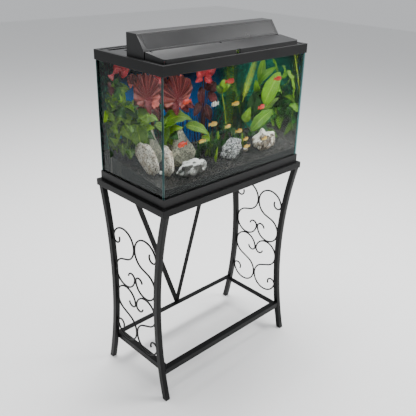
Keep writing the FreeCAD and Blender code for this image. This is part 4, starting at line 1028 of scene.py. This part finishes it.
# low growth between the stones: dark blades, small leaves, one pale grass blade and bare red twigs
low_plants = Plant("low_growth", None, None, [bright_leaf, dark_leaf, wine_leaf], 103)
chance = low_plants.chance
for _ in range(40):
    x, y = chance.uniform(-0.085, 0.135), chance.uniform(-0.016, 0.060)
    root = ground(x, y)
    lean = Vector((chance.uniform(-0.6, 0.6), chance.uniform(-0.7, 0.2), 1)).normalized()
    length = chance.uniform(0.035, 0.075)
    low_plants.leaf(root, root + lean * length, chance.uniform(0.008, 0.016), OUTLOOK, "oval", 0.15, 0.1, 0.05,
                    1 if chance.random() < 0.8 else 0)
root = ground(-0.040, -0.064)
low_plants.leaf(root, root + Vector((0.004, -0.002, 0.054)), 0.008, OUTLOOK, "oval", 0.12, 0.1, 0.05, 0, 0.9)
low_plants.leaf(root, root + Vector((-0.010, -0.004, 0.030)), 0.006, OUTLOOK, "oval", 0.12, 0.1, 0.05, 0, 0.8)
for start, middle, end in (
    ((-0.020, 0.060), (-0.046, 0.050, 0.90), (-0.072, 0.044, 0.958)),
    ((0.020, 0.060), (0.040, 0.052, 0.89), (0.072, 0.050, 0.940)),
    ((0.000, 0.056), (0.010, 0.050, 0.87), (-0.010, 0.046, 0.926)),
    ((0.050, 0.052), (0.076, 0.046, 0.87), (0.104, 0.040, 0.900)),
):
    low_plants.stalk(ground(*start), middle, end, thick=1.2, material=2)
for base, tip, material in (
    ((-0.050, 0.030, 0.862), (-0.014, 0.016, 0.846), 0),
    ((0.030, 0.020, 0.872), (0.066, 0.004, 0.880), 1),
    ((0.060, 0.020, 0.868), (0.096, 0.006, 0.850), 1),
    ((-0.030, 0.024, 0.850), (-0.066, 0.010, 0.842), 1),
    ((0.010, 0.020, 0.845), (-0.016, 0.000, 0.826), 1),
):
    low_plants.leaf(base, tip, 0.020, OUTLOOK, "oval", 0.15, 0.1, 0.05, material)
    low_plants.stalk(ground(*base[:2]), base, thick=0.9, material=1)
low_plants.done()


# ---------------------------------------------------------------- fish
# A mixed school: red and gold platies and one pale barb with black bars, each with a lofted body, fins and a dark
# eye.
def fish_finish(name, back, belly, bars=False):
    material, tree, shader = finish(name, 0.24, Coat_Weight=0.5)
    spot = painted(tree, "leaf")
    colour = ramp(tree, spot["Y"], (0.25, belly), (0.75, back))
    if bars:
        stripe = maths(tree, "PINGPONG", maths(tree, "MULTIPLY", spot["X"], 3.6), 0.5)
        colour = blend_colours(tree, ramp(tree, stripe, (0.30, 0.0), (0.38, 1.0)), colour, (0.01, 0.01, 0.012))
    scales = add(tree, "TexVoronoi", Vector=place_of(tree), Scale=620.0, feature="F1")
    rims = ramp(tree, scales.outputs["Distance"], (0.0, 1.0), (0.6, 0.35))
    colour = blend_colours(tree, 0.25, colour, rims, "MULTIPLY")
    tree.links.new(colour, shader.inputs["Base Color"])
    bump(tree, shader, scales.outputs["Distance"], 0.0002)
    return material


fish_eye = finish("fish_eye", 0.08, (0.01, 0.01, 0.01), Coat_Weight=1.0)[0]
red_scales = fish_finish("red_scales", (0.55, 0.006, 0.001), (0.82, 0.055, 0.004))
barred_scales = fish_finish("barred_scales", (0.7, 0.66, 0.55), (0.85, 0.84, 0.8), True)
gold_scales = fish_finish("gold_scales", (0.60, 0.30, 0.01), (0.90, 0.66, 0.12))
TANK_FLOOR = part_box("bottom_pane")[1].z
# each fish's heading in degrees from +X, its place across, along and above the tank's floor, and its length, in mm
schools = {
    "red_fish": (red_scales, [(188, -185, -100, 273, 36), (-12, -1, -80, 304, 36), (186, -207, -110, 151, 40),
                              (-20, 225, -80, 282, 34), (10, 152, -80, 198, 38)]),
    "barred_fish": (barred_scales, [(190, -48, -60, 238, 36)]),
    "gold_fish": (gold_scales, [(-8, 35, -70, 227, 32), (-15, -68, -80, 181, 34), (12, -2, -80, 161, 30),
                                (-10, 43, -90, 139, 30), (180, -105, -70, 133, 30), (14, 61, -115, 112, 28),
                                (174, 63, -125, 88, 28), (8, 148, -125, 97, 28)]),
}


def body_half(t):
    """Half height of the body along its length, as a share of the length, nose at 0."""
    return 0.21 * (math.sin(math.pi * min(1.0, t * 1.12) ** 0.62) ** 0.8) + 0.035 * t if t * 1.12 < 1 else 0.04


def swim(bm, leaf_map, heading, place, length):
    """One fish: body rings from nose to tail root, tail, back, belly and side fins, and eyes."""
    turn = Matrix.Translation(place) @ Matrix.Rotation(math.radians(heading), 4, "Z")
    rings, sides = 14, 12
    loops = []
    for ring in range(rings + 1):
        t = ring / rings * 0.80
        high = length * max(0.008, body_half(t))
        x = length * (0.5 - t)
        wide = 0.48 * high * (1 - 0.5 * t)
        loops.append([bm.verts.new(turn @ Vector((x, wide * math.cos(a), high * math.sin(a))))
                      for a in (math.tau * side / sides for side in range(sides))])
    marks = {vert: (ring / rings, 0.5 + 0.5 * math.sin(math.tau * side / sides))
             for ring, loop in enumerate(loops) for side, vert in enumerate(loop)}
    faces = [bm.faces.new(loops[0]), bm.faces.new(loops[-1][::-1])]
    for front, back in zip(loops, loops[1:]):
        for side in range(sides):
            after = (side + 1) % sides
            faces.append(bm.faces.new((front[side], back[side], back[after], front[after])))
    fins = (
        [(-0.29, 0, 0.035), (-0.42, 0, 0.17), (-0.50, 0, 0.16), (-0.455, 0, 0.0), (-0.50, 0, -0.16), (-0.42, 0, -0.17),
         (-0.29, 0, -0.035)],
        [(0.10, 0, 0.17), (0.00, 0, 0.275), (-0.10, 0, 0.25), (-0.14, 0, 0.115)],
        [(-0.02, 0, -0.18), (-0.10, 0, -0.25), (-0.16, 0, -0.20), (-0.17, 0, -0.09)],
        [(0.18, 0.06, -0.05), (0.06, 0.15, -0.10), (0.04, 0.13, -0.03)],
        [(0.18, -0.06, -0.05), (0.06, -0.15, -0.10), (0.04, -0.13, -0.03)],
    )
    for outline in fins:
        corners = [bm.verts.new(turn @ (Vector(point) * length)) for point in outline]
        marks.update({vert: (0.9, 0.5 + 1.5 * point[2]) for vert, point in zip(corners, outline)})
        faces.append(bm.faces.new(corners))
    for face in faces:
        for loop in face.loops:
            loop[leaf_map].uv = marks[loop.vert]
    for hand in (-1, 1):
        eye = turn @ Vector((0.40 * length, hand * 0.052 * length, 0.03 * length))
        made = bmesh.ops.create_icosphere(bm, subdivisions=2, radius=0.030 * length, matrix=Matrix.Translation(eye))
        for face in {face for vert in made["verts"] for face in vert.link_faces}:
            face.material_index = 1


for name, (scales, members) in schools.items():
    bm = bmesh.new()
    leaf_map = bm.loops.layers.uv.new("leaf")
    for heading, x, y, z, length in members:
        swim(bm, leaf_map, heading, Vector((x * MM, y * MM, TANK_FLOOR + z * MM)), length * MM)
    made = mesh_piece(name, bm, scales, fish_eye)
    skin = made.modifiers.new("thickness", "SOLIDIFY")
    skin.thickness = 0.2 * MM  # of the fins
    skin.offset = 0
    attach(made, ROOT)
    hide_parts("fish")

# ---------------------------------------------------------------- hood shells
# Satin black moulded polystyrene: a base plate in the rim's seat, the light housing with a smooth panel let into its
# slope, and the hinged feeding lid. Edges are paler, from wear and a painted highlight.
# its paler edges are a painted highlight as well as wear
hood_plastic = coated("hood_plastic", (0.007, 0.007, 0.0072), (0.07, 0.07, 0.072), 0.36, scale=1100.0, depth=0.00002,
                      reach=0.0022, rub_and_highlight=0.9, gleam=0.4)
panel_plastic = coated("panel_plastic", (0.009, 0.009, 0.0094), (0.06, 0.06, 0.062), 0.30, scale=1400.0, depth=0.00001,
                       reach=0.0012, rub_and_highlight=0.7, gleam=0.5)
dress("hood_base", hood_plastic, 0.5 * MM)
dress("light_housing", hood_plastic, 0.9 * MM, 3)
dress("lamp_cover", panel_plastic, 0.35 * MM)
dress("front_lid", hood_plastic, 0.8 * MM, 3)
dress("rocker_switch", panel_plastic, 0.5 * MM)
dress("cord_gland", plug_plastic, 0.5 * MM)

# ---------------------------------------------------------------- hood hardware
# A plain steel hinge rod, and four zinc screws that hold the clear lamp shield to the base.
zinc, tree, shader = finish("zinc", 0.32, (0.56, 0.56, 0.54), Metallic=1.0)
bump(tree, shader, clouds(tree, 1.0, stretch=(40, 900, 900)), 0.00003)
dress("lid_hinge_rod", zinc)
dress("lens_screws", zinc, 0.3 * MM)

# ---------------------------------------------------------------- lamp
# A fluorescent tube with aluminium caps in two white holders, under a folded bright reflector, behind a clear shield.
phosphor, tree, shader = finish("phosphor_glass", 0.18, (0.92, 0.94, 0.95), Emission_Strength=48.0)
shader.inputs["Emission Color"].default_value = (0.93, 0.97, 1.0, 1)
dress("lamp_tube", phosphor, 0.8 * MM)
cap_metal = finish("cap_metal", 0.25, (0.75, 0.75, 0.76), Metallic=1.0)[0]
lamp_low, lamp_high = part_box("lamp_tube")
lamp_radius = (lamp_high.z - lamp_low.z) / 2
lamp_middle = (lamp_low + lamp_high) / 2
bm = bmesh.new()
for hand in (-1, 1):
    face_x = lamp_middle.x + hand * (lamp_high.x - lamp_low.x - 14 * MM) / 2
    path = [Vector((face_x - hand * reach * MM, lamp_middle.y, lamp_middle.z))
            for reach in (-0.4, -0.3, 1.0, 11.0, 12.0, 12.1)]
    radii = [lamp_radius * share for share in (0.90, 0.98, 1.02, 1.02, 1.005, 0.98)]
    tube(bm, path, radii, 40)
lamp_caps = mesh_piece("lamp_caps", bm, cap_metal)
lamp_caps.modifiers.new("ridge", "BEVEL").width = 0.0002
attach(lamp_caps, "hood")

white_plastic = coated("white_plastic", (0.72, 0.72, 0.69), (0.8, 0.8, 0.78), 0.4, scale=300.0, rub_and_highlight=0.2)
dress("lampholders", white_plastic, 0.5 * MM)
dress("starter", white_plastic, 0.5 * MM)
bright_sheet, tree, shader = finish("bright_sheet", 0.12, (0.86, 0.87, 0.88), Metallic=1.0)
bump(tree, shader, clouds(tree, 1.0, 3.0, stretch=(6, 500, 500)), 0.00003)
dress("reflector", bright_sheet)
ballast_paint = coated("ballast_paint", (0.16, 0.16, 0.165), (0.3, 0.3, 0.31), 0.45, scale=300.0, rub_and_highlight=0.4)
dress("ballast", ballast_paint, 1.2 * MM)
shield_acrylic = clear("shield_acrylic", (0.97, 0.985, 0.99), ior=1.49, shade=0.95)
dress("lamp_lens", shield_acrylic, 0.3 * MM, 1)
